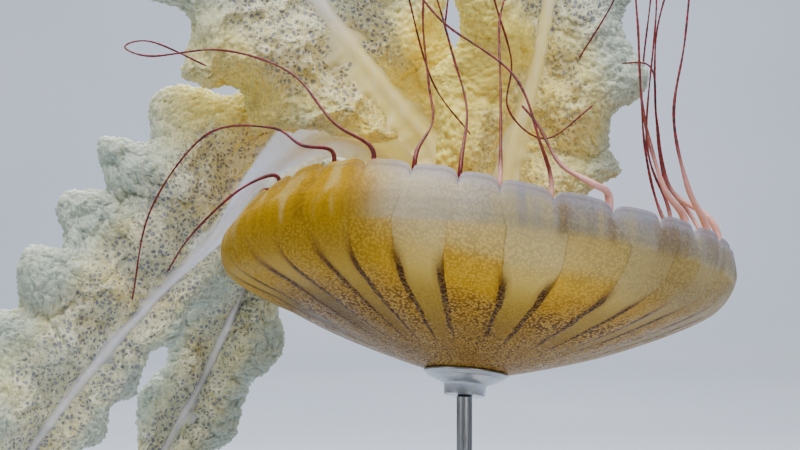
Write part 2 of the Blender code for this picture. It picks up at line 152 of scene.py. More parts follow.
def fade(value, low, high):
    """1 up to the low end of a range, and 0 past its high end."""
    return spread(value, low, high, 1.0, 0.0)


def mix(factor, first, second):
    """Blend two colours."""
    node = node_beside(factor, "Mix")
    node.data_type = "RGBA"
    link(factor, node.inputs[0])
    link(first, node.inputs[6])
    link(second, node.inputs[7])
    return Value(node.outputs[2])


def place_of(tree, size=(1.0, 1.0, 1.0), shift=(0.0, 0.0, 0.0)):
    """The place on the piece in its own coordinates, stretched or shifted."""
    source = tree.nodes.new("ShaderNodeTexCoord")
    mapping = tree.nodes.new("ShaderNodeMapping")
    tree.links.new(source.outputs["Object"], mapping.inputs["Vector"])
    set_fixed(mapping, {"Scale": size, "Location": shift})
    return Value(mapping.outputs["Vector"])


def axes_of(place):
    node = node_beside(place, "SeparateXYZ")
    link(place, node.inputs[0])
    return [Value(axis) for axis in node.outputs]


def noise(place, scale, detail=3.0, roughness=0.5):
    node = node_beside(place, "TexNoise")
    link(place, node.inputs["Vector"])
    set_fixed(node, {"Scale": scale, "Detail": detail, "Roughness": roughness})
    return Value(node.outputs["Fac"])


def relief(shader, height, distance, strength):
    node = node_beside(height, "Bump")
    set_fixed(node, {"Strength": strength, "Distance": distance})
    link(height, node.inputs["Height"])
    link(Value(node.outputs["Normal"]), shader.inputs["Normal"])


def brushed_steel(name, stretch):
    """Steel with fine marks drawn out in one direction, and faint finger smears."""
    material, tree, shader = new_material(name)
    marks = noise(place_of(tree, size=stretch), 1.0, detail=4.0, roughness=0.65)
    smears = noise(place_of(tree), 38.0, detail=2.0)
    bright = (176, 178, 182)
    dark = [value * 0.84 for value in bright]
    link(mix(spread(marks, 0.3, 0.7), linear(*dark), linear(*bright)), shader.inputs["Base Color"])
    rough = spread(marks, 0.3, 0.7, 0.24, 0.36) + spread(smears, 0.45, 0.7, 0.0, 0.1)
    link(rough, shader.inputs["Roughness"])
    set_fixed(shader, {"Metallic": 1.0})
    relief(shader, marks, 0.00006, 0.5)
    return material


def select_edges(piece, wanted):
    """In edit mode, select the edges whose two ends lie at heights that pass the test."""
    bpy.ops.object.mode_set(mode="EDIT")
    bpy.ops.mesh.select_all(action="DESELECT")
    bpy.ops.object.mode_set(mode="OBJECT")
    for edge in piece.data.edges:
        edge.select = wanted(*[piece.data.vertices[v].co.z for v in edge.vertices])
    bpy.ops.object.mode_set(mode="EDIT")


BASE_LOW, BASE_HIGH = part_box("stand_base")
BASE_RADIUS = (BASE_HIGH[0] - BASE_LOW[0]) / 2
BASE_HEIGHT = BASE_HIGH[2]
BASE_ROUND = 2.2 * MM
GROOVE_AT = 0.9
GROOVE_DEPTH = 0.7 * MM
start_clean()
bpy.ops.mesh.primitive_cylinder_add(vertices=160, radius=BASE_RADIUS, depth=BASE_HEIGHT,
                                    location=(0, 0, BASE_HEIGHT / 2))
stand_disc = bpy.context.object
select_edges(stand_disc, lambda one, other: min(one, other) > 0)
bpy.ops.mesh.bevel(offset=BASE_ROUND, segments=5, affect="EDGES")
bpy.ops.mesh.select_all(action="DESELECT")
bpy.ops.object.mode_set(mode="OBJECT")
top = max(stand_disc.data.polygons, key=lambda face: (face.normal.z, face.area))
top.select = True
bpy.ops.object.mode_set(mode="EDIT")
bpy.ops.mesh.inset(thickness=BASE_RADIUS * (1 - GROOVE_AT))
bpy.ops.mesh.inset(thickness=0.5 * MM, depth=-GROOVE_DEPTH)
bpy.ops.mesh.inset(thickness=0.8 * MM)
bpy.ops.mesh.inset(thickness=0.5 * MM, depth=GROOVE_DEPTH)
bpy.ops.object.mode_set(mode="OBJECT")


def turned_steel(name):
    """Steel from the lathe: fine rings about the upright axis."""
    material, tree, shader = new_material(name)
    x, y, z = axes_of(place_of(tree))
    away = maths("SQRT", x * x + y * y)
    lathe = tree.nodes.new("ShaderNodeTexNoise")
    lathe.noise_dimensions = "1D"
    set_fixed(lathe, {"Scale": 2600.0, "Detail": 3.0})
    link(away + z * 0.8, lathe.inputs["W"])
    rings = Value(lathe.outputs["Fac"])
    smears = noise(place_of(tree), 26.0, detail=3.0)
    tone = spread(rings, 0.3, 0.7)
    link(mix(tone, linear(150, 152, 156), linear(182, 184, 188)), shader.inputs["Base Color"])
    rough = spread(rings, 0.3, 0.7, 0.26, 0.36) + spread(smears, 0.45, 0.72, 0.0, 0.12)
    link(rough, shader.inputs["Roughness"])
    set_fixed(shader, {"Metallic": 1.0})
    relief(shader, rings, 0.00005, 0.5)
    return material


stand_disc.data.materials.append(turned_steel("turned_steel"))
settle(stand_disc, "stand_disc")
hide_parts("stand_base")


# ---- Stand rod and cup -------------------------------------------------------------------------
# A steel rod rises from a small collar on the base to a shallow cup. The cup is turned to the
# crown's shape and carries the bell a hair's breadth below its skin.

ROD_LOW, ROD_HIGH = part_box("stand_rod")
ROD_RADIUS = (ROD_HIGH[0] - ROD_LOW[0]) / 2
ROD_AT = ((ROD_LOW[0] + ROD_HIGH[0]) / 2, (ROD_LOW[1] + ROD_HIGH[1]) / 2)
ROD_PLAY = 0.8 * MM
COLLAR_RADIUS = ROD_RADIUS + 4.5 * MM
COLLAR_HEIGHT = 9 * MM
start_clean()
bpy.ops.mesh.primitive_cylinder_add(
    vertices=48, radius=ROD_RADIUS, depth=ROD_HIGH[2] - ROD_LOW[2] - ROD_PLAY,
    location=(*ROD_AT, (ROD_HIGH[2] + ROD_LOW[2]) / 2 - ROD_PLAY / 2))
stand_pole = bpy.context.object
select_edges(stand_pole, lambda one, other: one * other > 0)
bpy.ops.mesh.bevel(offset=0.5 * MM, segments=3, affect="EDGES")
bpy.ops.object.mode_set(mode="OBJECT")
stand_pole.data.materials.append(brushed_steel("drawn_steel", (2200.0, 2200.0, 60.0)))
settle(stand_pole, "stand_pole")
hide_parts("stand_rod")

start_clean()
bpy.ops.mesh.primitive_cone_add(
    vertices=48, radius1=COLLAR_RADIUS, radius2=ROD_RADIUS + 1.2 * MM, depth=COLLAR_HEIGHT,
    location=(*ROD_AT, BASE_HEIGHT + COLLAR_HEIGHT / 2))
stand_collar = bpy.context.object
bevel = stand_collar.modifiers.new("soft_edge", "BEVEL")
bevel.width = 0.9 * MM
bevel.segments = 4
bevel.limit_method = "ANGLE"
bpy.ops.object.modifier_apply(modifier=bevel.name)
stand_collar.data.materials.append(turned_steel("collar_steel"))
settle(stand_collar, "stand_collar")

# The bell's own measures, which the cup needs first. They are those of the solid bell.
BELL_RADIUS = 150 * MM
BELL_DEPTH = 65 * MM
DOME_SPREAD = 1.15
DOME_FULLNESS = 0.63
BELL_CENTRE = np.array([0.0, 0.0, 295.0]) * MM
BELL_LEAN = math.radians(11.0)
BELL_ROLL = math.radians(5.3)
CROWN_RING = 24 * MM
CUP_DEPTH = 9 * MM
CUP_PLAY = 0.4 * MM


def turned(level, height, angle):
    return (level * math.cos(angle) + height * math.sin(angle),
            height * math.cos(angle) - level * math.sin(angle))


def bell_to_world(x, y, z):
    """From the bell's own frame, with its axis along Z, to its place on the stand."""
    y, z = turned(y, z, BELL_LEAN)
    x, z = turned(x, z, BELL_ROLL)
    return np.stack([x + BELL_CENTRE[0], y + BELL_CENTRE[1], z + BELL_CENTRE[2]], axis=-1)


def dome_height(share):
    return -BELL_DEPTH * (1 - np.minimum(share, 1.0) ** DOME_SPREAD) ** DOME_FULLNESS


def smoothed(values, width):
    """Evened out over an odd number of steps."""
    kernel = np.hanning(width) / np.hanning(width).sum()
    return np.convolve(np.pad(values, width // 2, mode="edge"), kernel, mode="valid")


def points_of(piece, kind="co"):
    """The places of the piece's points, or their normals."""
    flat = np.zeros(len(piece.data.vertices) * 3)
    piece.data.vertices.foreach_get(kind, flat)
    return flat.reshape(-1, 3)


def move_points(piece, places):
    flat = np.ascontiguousarray(places, dtype=np.float64).ravel()
    piece.data.vertices.foreach_set("co", flat)
    piece.data.update()


def shape_grid(name, columns, rows, place):
    """A grid, moved point by point onto a surface. place gets each point's column and row as shares
    of the whole, and gives world places. The seam and the poles are then joined."""
    start_clean()
    bpy.ops.mesh.primitive_grid_add(x_subdivisions=columns, y_subdivisions=rows, size=1.0,
                                    location=(0, 0, 0))
    piece = bpy.context.object
    flat = points_of(piece)
    move_points(piece, place(flat[:, 0] + 0.5, flat[:, 1] + 0.5))
    bpy.ops.object.mode_set(mode="EDIT")
    bpy.ops.mesh.select_all(action="SELECT")
    bpy.ops.mesh.remove_doubles(threshold=0.00001)
    bpy.ops.mesh.normals_make_consistent(inside=False)
    bpy.ops.object.mode_set(mode="OBJECT")
    piece.name = name
    return piece


def cup_surface(column, row):
    """Down the hollow of the cup from its middle, over the lip and down the outside to the foot."""
    crown = dome_height(np.array(0.0))
    radius = np.interp(row, (0, 0.45, 0.5, 0.56, 0.66, 0.86, 0.93, 1.0),
                       np.array([0, 1, 1.02, 1.02, 0.94, 0.54, 0.5, 0]) * CROWN_RING)
    hollow = dome_height(radius / BELL_RADIUS) - CUP_PLAY
    drop = np.interp(row, (0, 0.45, 0.5, 0.56, 0.66, 0.86, 0.93, 1.0),
                     (0, 0, 0.5, 1.6, 3.4, 7.2, 9, 9)) * MM
    lip = dome_height(CROWN_RING / BELL_RADIUS) - CUP_PLAY
    height = np.where(row <= 0.46, hollow, lip - drop)
    height = np.where(row >= 0.93, crown - CUP_DEPTH, np.maximum(height, crown - CUP_DEPTH))
    angle = column * 2 * math.pi
    return bell_to_world(radius * np.cos(angle), radius * np.sin(angle), height)


stand_seat = shape_grid("stand_seat", 64, 44, cup_surface)
stand_seat.data.materials.append(turned_steel("cup_steel"))
settle(stand_seat, "stand_seat")
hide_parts("stand_cup")


# ---- Bell --------------------------------------------------------------------------------------
# The swimming bell: one shell of firm jelly, thick at the crown and thin at the margin. Its outside
# carries plain and grained rays in turn with dark beaded lines between them. The margin is cut into
# 32 soft lappets. It is one skin, out over the crown, round the rim and back down the inside.

RIM_RADIUS = 141 * MM
RIM_SWING = 5 * MM
SKIRT_CURVE = 1.4
SKIRT_HEIGHT = 13.5 * MM
SKIRT_LIFT = 16 * MM
LIFT_AT = math.radians(124.0)
LIFT_SPREAD = math.radians(36.0)
SAG = 6.4 * MM
SAG_SPREAD = math.radians(60.0)
SAG_FROM = 0.75
WALL_CROWN = 11 * MM
WALL_RIM = 2.0 * MM
LAPPETS = 32
LAPPET_LENGTH = 5 * MM
FIRST_CLEFT = math.radians(6.5)
CLEFT_DRIFT = math.radians(4.0)
DRIFT_AT = math.radians(80.0)
DRIFT_SPREAD = math.radians(14.0)
RAYS_DRIFT = ((4.0, 104.0, 16.0), (-6.5, 54.0, 18.0), (-2.3, 148.0, 14.0))
FRONT_AT = math.radians(88.0)
FRONT_SPREAD = math.radians(50.0)
OUTER_V = 0.375
RIM_V = 0.75


def swell_round(angle, centre, spread_angle):
    """1 at the centre, and easing to 0 round the bell to both sides of it."""
    off = (angle - centre + math.pi) % (2 * math.pi) - math.pi
    return np.exp(-(off / spread_angle) ** 2)


def cleft_angle(turn):
    """The angle of a cleft, or of a place between two, by number."""
    even = FIRST_CLEFT + 2 * math.pi * turn / LAPPETS
    return even + CLEFT_DRIFT * swell_round(even, DRIFT_AT, DRIFT_SPREAD)


def ray_angle(turn):
    """The angle of a line between rays. The rays crowd and spread a little round the front."""
    even = FIRST_CLEFT + 2 * math.pi * turn / LAPPETS
    for drift in RAYS_DRIFT:
        swing, centre, width = map(math.radians, drift)
        even = even + swing * swell_round(even, centre, width)
    return even


def skirt_height(angle):
    return SKIRT_HEIGHT + SKIRT_LIFT * swell_round(angle, LIFT_AT, LIFT_SPREAD)


def rim_radius(angle):
    return RIM_RADIUS + RIM_SWING * np.cos(angle)


def wall(share):
    return WALL_RIM + (WALL_CROWN - WALL_RIM) * np.maximum(0.0, 1 - share) ** 0.8


def bell_profile(share, angle):
    """Radius and height of the plain outer skin. share is 0 at the crown, 1 at the widest circle
    and 2 at the rim. The widest circle sags at the left."""
    rise = np.maximum(share - 1, 0)
    sag = SAG * swell_round(angle, math.pi, SAG_SPREAD)
    radius = np.where(share <= 1, BELL_RADIUS * share,
                      BELL_RADIUS - (BELL_RADIUS - rim_radius(angle)) * rise ** SKIRT_CURVE)
    low = dome_height(share) - sag * np.clip((share - SAG_FROM) / (1 - SAG_FROM), 0, 1)
    return radius, np.where(share <= 1, low, skirt_height(angle) * rise - sag * (1 - rise))


def rounded_profile(share, angle):
    """The same, with the turn at the widest circle eased into one soft curve, broadest in front."""
    front = swell_round(angle, FRONT_AT, FRONT_SPREAD)
    skirt = skirt_height(angle) + 4 * MM
    along_skin = np.where(share <= 1, (share - 1) * BELL_RADIUS, (share - 1) * skirt)
    near_turn = np.exp(-(along_skin / ((19 + 19 * front) * MM)) ** 2)
    soft = (13 + 21 * front) * MM * near_turn
    radius, height = 0.0, 0.0
    for step, weight in zip(np.linspace(-1, 1, 9),
                            (0.06, 0.1, 0.13, 0.14, 0.14, 0.14, 0.13, 0.1, 0.06)):
        near = along_skin + step * soft
        near_share = 1 + np.where(near <= 0, near / BELL_RADIUS, near / skirt)
        near_radius, near_height = bell_profile(near_share, angle)
        radius, height = radius + weight * near_radius, height + weight * near_height
    return radius + 2.6 * MM * near_turn, height


def bell_place(turn, share, inside):
    """A place on the bell's skin. turn counts lappets."""
    rise = np.clip(share - 1, 0, 1)
    to_margin = np.clip((share - 0.8) / 0.9, 0, 1)
    angle = ray_angle(turn) * (1 - to_margin) + cleft_angle(turn) * to_margin
    along_lappet = turn % 1.0
    low = rounded_profile(np.maximum(share - 0.004, 0.0), angle)
    high = rounded_profile(np.minimum(share + 0.004, 2.0), angle)
    radius, height = rounded_profile(share, angle)
    # The lappets stand up between the clefts, and the left ones curl in.
    left = swell_round(angle, math.radians(138), math.radians(40))
    scallop = (1 - np.abs(2 * along_lappet - 1) ** 4.5) ** 0.55
    lappet_rise = np.clip((rise - 0.6) / 0.4, 0, 1)
    height = height + LAPPET_LENGTH * scallop * lappet_rise * (1 - 0.25 * left)
    curl = left * np.clip((rise - 0.5) / 0.5, 0, 1) ** 1.5
    # Short grooves run down from the clefts, and broad soft folds cross the skirt.
    margin = np.clip((rise - 0.55) / 0.45, 0, 1) ** 1.5
    to_cleft = np.minimum(along_lappet, 1 - along_lappet)
    cleft_groove = np.exp(-(to_cleft / 0.1) ** 2) * margin * (1 - left)
    skirt_part = np.clip((share - 0.98) / 0.5, 0, 1)
    folds = (np.sin(7 * angle + 1.0) + 0.8 * np.sin(17 * angle + 2.0)
             + 0.5 * np.sin(29 * angle + 0.4))
    deep_fold = swell_round(angle, math.radians(101), math.radians(2.6))
    deep_fold -= 0.8 * swell_round(angle, math.radians(96), math.radians(2.6))
    # The grained rays swell a little between their lines.
    mid_dome = np.clip((share - 0.35) / 0.2, 0, 1) * np.clip((1.0 - share) / 0.15, 0, 1)
    swell = np.sin(math.pi * along_lappet) * np.where(np.floor(turn) % 2 == 0, -0.2, 0.3) * mid_dome
    bend = (-0.7 * cleft_groove - 0.42 * folds * skirt_part + 1.2 * deep_fold * skirt_part + swell
            - 2.5 * curl + 0.25 * (scallop - 0.6) * margin) * MM
    run, climb = high[0] - low[0], high[1] - low[1]
    length = np.hypot(run, climb)
    out_run = np.where(share < 0.02, 0.0, climb / length)
    out_climb = np.where(share < 0.02, -1.0, -run / length)
    depth = bend - np.where(inside, wall(share), 0.0)
    radius = np.where(share <= 0.0, 0.0, radius + out_run * depth)
    height = height + out_climb * depth
    return bell_to_world(radius * np.cos(angle), -radius * np.sin(angle), height)


outer_shares = np.concatenate([np.linspace(0, 1, 76), np.linspace(1, 2, 36)[1:]])
inner_shares = np.concatenate([np.linspace(2, 1, 12), np.linspace(1, 0, 24)[1:]])
row_share = np.concatenate([outer_shares, inner_shares])
row_inside = np.concatenate([np.zeros(len(outer_shares), bool), np.ones(len(inner_shares), bool)])
row_v = np.concatenate([outer_shares * OUTER_V,
                        RIM_V + 0.01 + (2 - inner_shares) * (0.99 - RIM_V) / 2])
BELL_COLUMNS = LAPPETS * 20
BELL_ROWS = len(row_share) - 1


def bell_surface(column, row):
    number = np.rint(row * BELL_ROWS).astype(int)
    return bell_place(column * LAPPETS, row_share[number], row_inside[number])


bell_skin = shape_grid("bell_skin", BELL_COLUMNS, BELL_ROWS, bell_surface)
layer = bell_skin.data.uv_layers[0]
layer.name = "OFBake"
loops = np.zeros(len(layer.data) * 2)
layer.data.foreach_get("uv", loops)
loops = loops.reshape(-1, 2)
loops[:, 1] = row_v[np.clip(np.rint(loops[:, 1] * BELL_ROWS).astype(int), 0, BELL_ROWS)]
layer.data.foreach_set("uv", loops.ravel())


def voronoi(place, scale, feature="DISTANCE_TO_EDGE"):
    node = node_beside(place, "TexVoronoi")
    node.feature = feature
    link(place, node.inputs["Vector"])
    set_fixed(node, {"Scale": scale})
    return Value(node.outputs["Distance"])


def warped(place, scale, amount, detail=2.0):
    """The place pushed a little aside by noise, so that a pattern laid on it bends."""
    clouds = node_beside(place, "TexNoise")
    link(place, clouds.inputs["Vector"])
    set_fixed(clouds, {"Scale": scale, "Detail": detail})
    node = node_beside(place, "VectorMath")
    node.operation = "MULTIPLY_ADD"
    link(Value(clouds.outputs["Color"]), node.inputs[0])
    link((amount, amount, amount), node.inputs[1])
    link(place, node.inputs[2])
    return Value(node.outputs[0])


def own_uv(tree):
    node = tree.nodes.new("ShaderNodeUVMap")
    node.uv_map = "OFBake"
    return axes_of(Value(node.outputs["UV"]))[:2]


GRAIN_SCALE = 610.0
FINE_GRAIN_SCALE = 860.0


def bell_jelly():
    material, tree, shader = new_material("bell_jelly_skin")
    across, down = own_uv(tree)
    share = down / OUTER_V
    inside = maths("GREATER_THAN", down, RIM_V + 0.002)
    turn = across * float(LAPPETS)
    place = place_of(tree)

    # At the front and right the skirt's pale tissue reaches further over the widest circle.
    lowered = maths("MINIMUM", spread(turn, 9.8, 6.4), spread(turn, 0.2, 2.6))
    lowered = lowered * spread(share, 0.45, 0.85)
    lowered = lowered * fade(share, 1.2, 1.9)
    share = share + lowered * 0.1
    wander = noise(place, 170.0, 4.0, 0.75) - 0.5
    drift = noise(place, 32.0, 2.0) - 0.5

    # A plain ray lies in the middle of each pair's first half, between two dark lines. The rest of
    # the pair is grained, and towards the crown the grain closes over the plain ray too.
    pair = maths("FRACT", turn * 0.5)
    from_middle = abs(pair - 0.25)
    half = spread(share, 0.82, 1.0, 0.205, 0.25)
    pair_width = maths("MINIMUM", share, 1.0) * 58.9
    off_line = (from_middle - half) * pair_width
    off_line = off_line + drift * 5.0
    ragged = off_line + wander * 3.0
    near_line = abs(off_line)
    closing = spread(share, 0.44, 0.66, 4.5, -0.6, smooth=False) + ragged
    grained = maths("MAXIMUM", spread(ragged, -0.7, 0.5), spread(closing, -0.8, 1.2))

    # The lines: broad and dark at their outer ends, thinner and beaded towards the crown, and
    # carried over the skirt as faint threads. Their grained side is ragged.
    strong = spread(share, 0.33, 0.46) * fade(share, 0.84, 0.92)
    width = spread(share, 0.34, 0.84, 1.0, 2.7)
    wide_line = width + wander * 3.4
    line = maths("SUBTRACT", 1.0, near_line / wide_line, clamp=True)
    line = spread(line, 0.08, 0.42) * strong
    thread = spread(share, 0.84, 0.92) * spread(share, 1.1, 1.75, 0.42, 0.0)
    fine_line = maths("SUBTRACT", 1.0, near_line / 0.6, clamp=True)
    smudge = maths("SUBTRACT", 1.0, near_line / 5.5, clamp=True)
    smudge = smudge * spread(share, 0.7, 0.84)
    smudge = smudge * fade(share, 0.88, 0.99)

    # The grain: light dots in a dark net, larger near the widest circle and finer towards the
    # crown.
    bent = warped(place, 300.0, 0.0014)
    dots = fade(voronoi(bent, GRAIN_SCALE, "F1"), 0.34, 0.62)
    fine_dots = fade(voronoi(bent, FINE_GRAIN_SCALE, "F1"), 0.34, 0.68)
    light = mix(fade(share, 0.38, 0.58), dots, fine_dots)
    net = 1.0 - light
    patchy = spread(noise(place, 55.0, 3.0), 0.3, 0.62, 0.55, 1.0)
    depth = spread(share, 0.64, 0.88, 1.0, 0.36)
    on_skirt = spread(share, 0.97, 1.12, 1.0, 0.62)
    grain_here = depth * on_skirt * patchy
    everywhere = maths("MAXIMUM", grained, spread(share, 0.82, 1.0, 0.22, 0.8))
    grain_on = grain_here * everywhere

    # The ground colours, from the crown out to the rim: plain rays, grained rays.
    stops = ((0.0, (122, 86, 48), (134, 92, 52)), (0.14, (116, 82, 24), (124, 86, 20)),
             (0.27, (140, 106, 22), (146, 104, 0)), (0.36, (170, 134, 40), (182, 130, 0)),
             (0.42, (204, 168, 74), (210, 156, 14)), (0.462, (226, 192, 104), (222, 172, 44)),
             (0.5, (218, 192, 128), (216, 176, 82)), (0.56, (188, 169, 124), (184, 162, 104)),
             (0.66, (160, 150, 128), (156, 145, 119)), (0.84, (150, 144, 138), (148, 141, 133)),
             (1.0, (132, 133, 146), (132, 133, 146)))
    rays = []
    for which in (1, 2):
        ramp = tree.nodes.new("ShaderNodeValToRGB")
        points = ramp.color_ramp.elements
        while len(points) < len(stops):
            points.new(0.5)
        for point, stop in zip(points, stops):
            point.position = stop[0]
            point.color = linear(*stop[which])
        waver = share + drift * 0.09
        link(waver * 0.5, ramp.inputs["Fac"])
        rays.append(Value(ramp.outputs["Color"]))
    ground = mix(grained, *rays)

    # The left of the bell is golden up to the rim; painted highlights and shade streak its folds.
    gold_turn = abs(turn - 14.0)
    gold = fade(gold_turn, 3.6, 5.8) * spread(share, 0.5, 1.02)
    ground = mix(gold, ground, linear(162, 124, 0))
    fold_shading_streaks = noise(place_of(tree, size=(70.0, 70.0, 9.0)), 1.0, 2.0)
    pale = spread(fold_shading_streaks, 0.5, 0.66) * spread(share, 0.98, 1.2)
    ground = mix(pale * 0.42, ground, linear(196, 178, 118))
    shade = spread(fold_shading_streaks, 0.5, 0.34) * spread(share, 0.98, 1.2)
    ground = mix(shade * 0.45, ground, linear(112, 82, 12))

    # Painted highlight: the margin beside the deep fold is lightened to milky cream.
    fold_turn = abs(turn - 8.3)
    fold_highlight = spread(fold_turn, 0.4, 1.6, 0.6, 0.0) * spread(share, 0.96, 1.15)
    ground = mix(fold_highlight, ground, linear(216, 204, 176))

    # Painted highlight: a soft cream band where the skirt meets the dome.
    cream = spread(share, 0.94, 1.0) * fade(share, 1.02, 1.13)
    cream = cream * spread(lowered, 0.1, 0.7, 0.0, 0.5)
    ground = mix(cream, ground, linear(236, 208, 132))

    # Painted shade darkens the far left of the lower dome to brown; the far right is dull.
    left_turn = abs(turn - 15.0)
    brown = spread(left_turn, 1.5, 6.5, 0.84, 0.0) * fade(share, 0.62, 0.9)
    ground = mix(brown, ground, linear(62, 38, 0))
    dull = spread(axes_of(place)[0], 0.03, 0.12, 0.0, 0.78)
    dull = dull * fade(share, 0.98, 1.2)
    ground = mix(dull, ground, linear(106, 84, 40))

    dark_net = grain_on * net * 0.92
    colour = mix(dark_net, ground, linear(80, 44, 0))
    bright = grain_on * light * 0.34
    colour = mix(bright, colour, linear(222, 184, 88))
    colour = mix(smudge * 0.7, colour, linear(96, 50, 4))
    beaded = line * (1.0 - dots * 0.45)
    colour = mix(beaded, colour, linear(60, 26, 0))
    colour = mix(fine_line * thread, colour, linear(90, 60, 30))

    # The lappets: clear bluish edges with a thin darker line inside them.
    edge = spread(share, 1.72, 1.97)
    rim_line = spread(share, 1.88, 1.91) * fade(share, 1.93, 1.96)
    not_gold = 1.0 - gold
    clear = edge * not_gold
    colour = mix(clear * 0.6, colour, linear(164, 166, 190))
    colour = mix(rim_line * 0.3, colour, linear(108, 88, 80))

    # The inside is paler, with sixteen faint dark partitions.
    parts = abs(pair - 0.5)
    parts = fade(parts, 0.0, 0.06)
    inner = mix(parts * 0.45, linear(206, 176, 120), linear(120, 80, 40))
    colour = mix(inside, colour, inner)
    link(colour, shader.inputs["Base Color"])

    rough = spread(noise(place, 240.0, 3.0), 0.3, 0.7, 0.34, 0.5)
    link(rough, shader.inputs["Roughness"])
    link(1.0 - clear * 0.3, shader.inputs["Alpha"])
    set_fixed(shader, {"Specular IOR Level": 0.14, "IOR": 1.33, "Subsurface Weight": 0.36,
                       "Subsurface Radius": (1.0, 0.6, 0.2), "Subsurface Scale": 0.0018})
    bumps = dark_net * -0.8 + line * -0.5
    bumps = bumps + noise(place, 90.0, 4.0) * 0.5
    relief(shader, bumps, 0.0003, 0.7)
    return material


bell_skin.data.materials.append(bell_jelly())
settle(bell_skin, "bell_skin")
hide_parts("bell")


# ---- Mouth -------------------------------------------------------------------------------------
# The short stalk of the mouth stands on the floor of the bell. It is smooth clear jelly with four
# soft corners, and its top spreads into the four arms.

MOUTH_WAIST = 19 * MM
MOUTH_TOP_RADIUS = 29 * MM
MOUTH_HEIGHT = 44 * MM
GAP = 0.3 * MM
MOUTH_FLOOR = -BELL_DEPTH + WALL_CROWN
MOUTH_FRONT = (-0.012, -0.01, 0.385)


def mouth_surface(column, row):
    """Up the outside of the stalk and over its top to the middle."""
    angle = column * 2 * math.pi
    knots = (0, 0.12, 0.3, 0.5, 0.68, 0.8, 0.9, 1.0)
    wide = np.array((MOUTH_TOP_RADIUS, 24 * MM, MOUTH_WAIST, MOUTH_WAIST, 22 * MM, 27 * MM, 24 * MM,
                     0))
    tall = np.array((1 * MM, 3 * MM, 12 * MM, 26 * MM, 38 * MM, 43 * MM, 48 * MM, 50 * MM))
    fine = np.linspace(0, 1, 60)
    radius = np.interp(row, fine, smoothed(np.interp(fine, knots, wide), 9))
    height = MOUTH_FLOOR + np.interp(row, fine, smoothed(np.interp(fine, knots, tall), 9))
    corner = 1 + 0.12 * np.cos(4 * angle) * np.clip(row * 3, 0, 1)
    ripple = 1 + 0.02 * np.sin(11 * angle + 3 * row)
    radius = np.where(row >= 1, 0, radius * corner * ripple)
    return bell_to_world(radius * np.cos(angle), -radius * np.sin(angle), height)


def near_spot(tree, spot, close, far):
    """1 round a spot and 0 further off, by distance from it."""
    node = tree.nodes.new("ShaderNodeVectorMath")
    node.operation = "DISTANCE"
    link(place_of(tree, size=(1.0, 0.6, 1.0)), node.inputs[0])
    node.inputs[1].default_value = spot
    return fade(Value(node.outputs["Value"]), close, far)


def clear_jelly(name, ground, deep, alpha, ribbed=False):
    """Clear jelly with milky clouds and fibres in it. A web is denser at its rib and its edges."""
    material, tree, shader = new_material(name)
    place = place_of(tree)
    clouds = noise(place, 42.0, 4.0, 0.55)
    fibres = noise(place_of(tree, size=(260.0, 260.0, 34.0)), 1.0, 3.0)
    yellow = near_spot(tree, MOUTH_FRONT, 0.06, 0.145)
    colour = mix(spread(clouds, 0.3, 0.7), linear(*deep), linear(*ground))
    colour = mix(yellow, colour, linear(250, 232, 150))
    dense = yellow * 0.5 + spread(clouds, 0.4, 0.7, alpha, alpha + 0.14)
    if ribbed:
        across = abs(maths("COSINE", own_uv(tree)[0] * (2 * math.pi)))
        rib = fade(across, 0.05, 0.3)
        dense = dense + rib * 0.34
        dense = maths("ADD", dense, spread(across, 0.75, 1.0, 0.0, 0.3), clamp=True)
        white = rib * spread(yellow, 0.0, 1.0, 0.5, 0.08)
        colour = mix(white, colour, linear(242, 242, 246))
    colour = mix(spread(fibres, 0.5, 0.72, 0.0, 0.35), colour, linear(248, 244, 236))
    link(colour, shader.inputs["Base Color"])
    link(dense, shader.inputs["Alpha"])
    link(spread(clouds, 0.3, 0.7, 0.16, 0.3), shader.inputs["Roughness"])
    set_fixed(shader, {"IOR": 1.36, "Subsurface Weight": 0.4,
                       "Subsurface Radius": (1.0, 0.9, 0.9), "Subsurface Scale": 0.006})
    relief(shader, clouds + fibres * 0.3, 0.0006, 0.6)
    return material


mouth_skin = shape_grid("mouth_skin", 96, 60, mouth_surface)
mouth_skin.data.materials.append(clear_jelly("mouth_clear", (226, 214, 190), (200, 186, 166), 0.7))
settle(mouth_skin, "mouth_skin")
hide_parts("mouth_stalk")


# ---- Oral arms: webs ---------------------------------------------------------------------------
# Four long arms rise from the mouth and trail away. Each has a clear sheet of jelly down its
# middle, with a thicker rib in it, and wavy edges that pass into the frills.

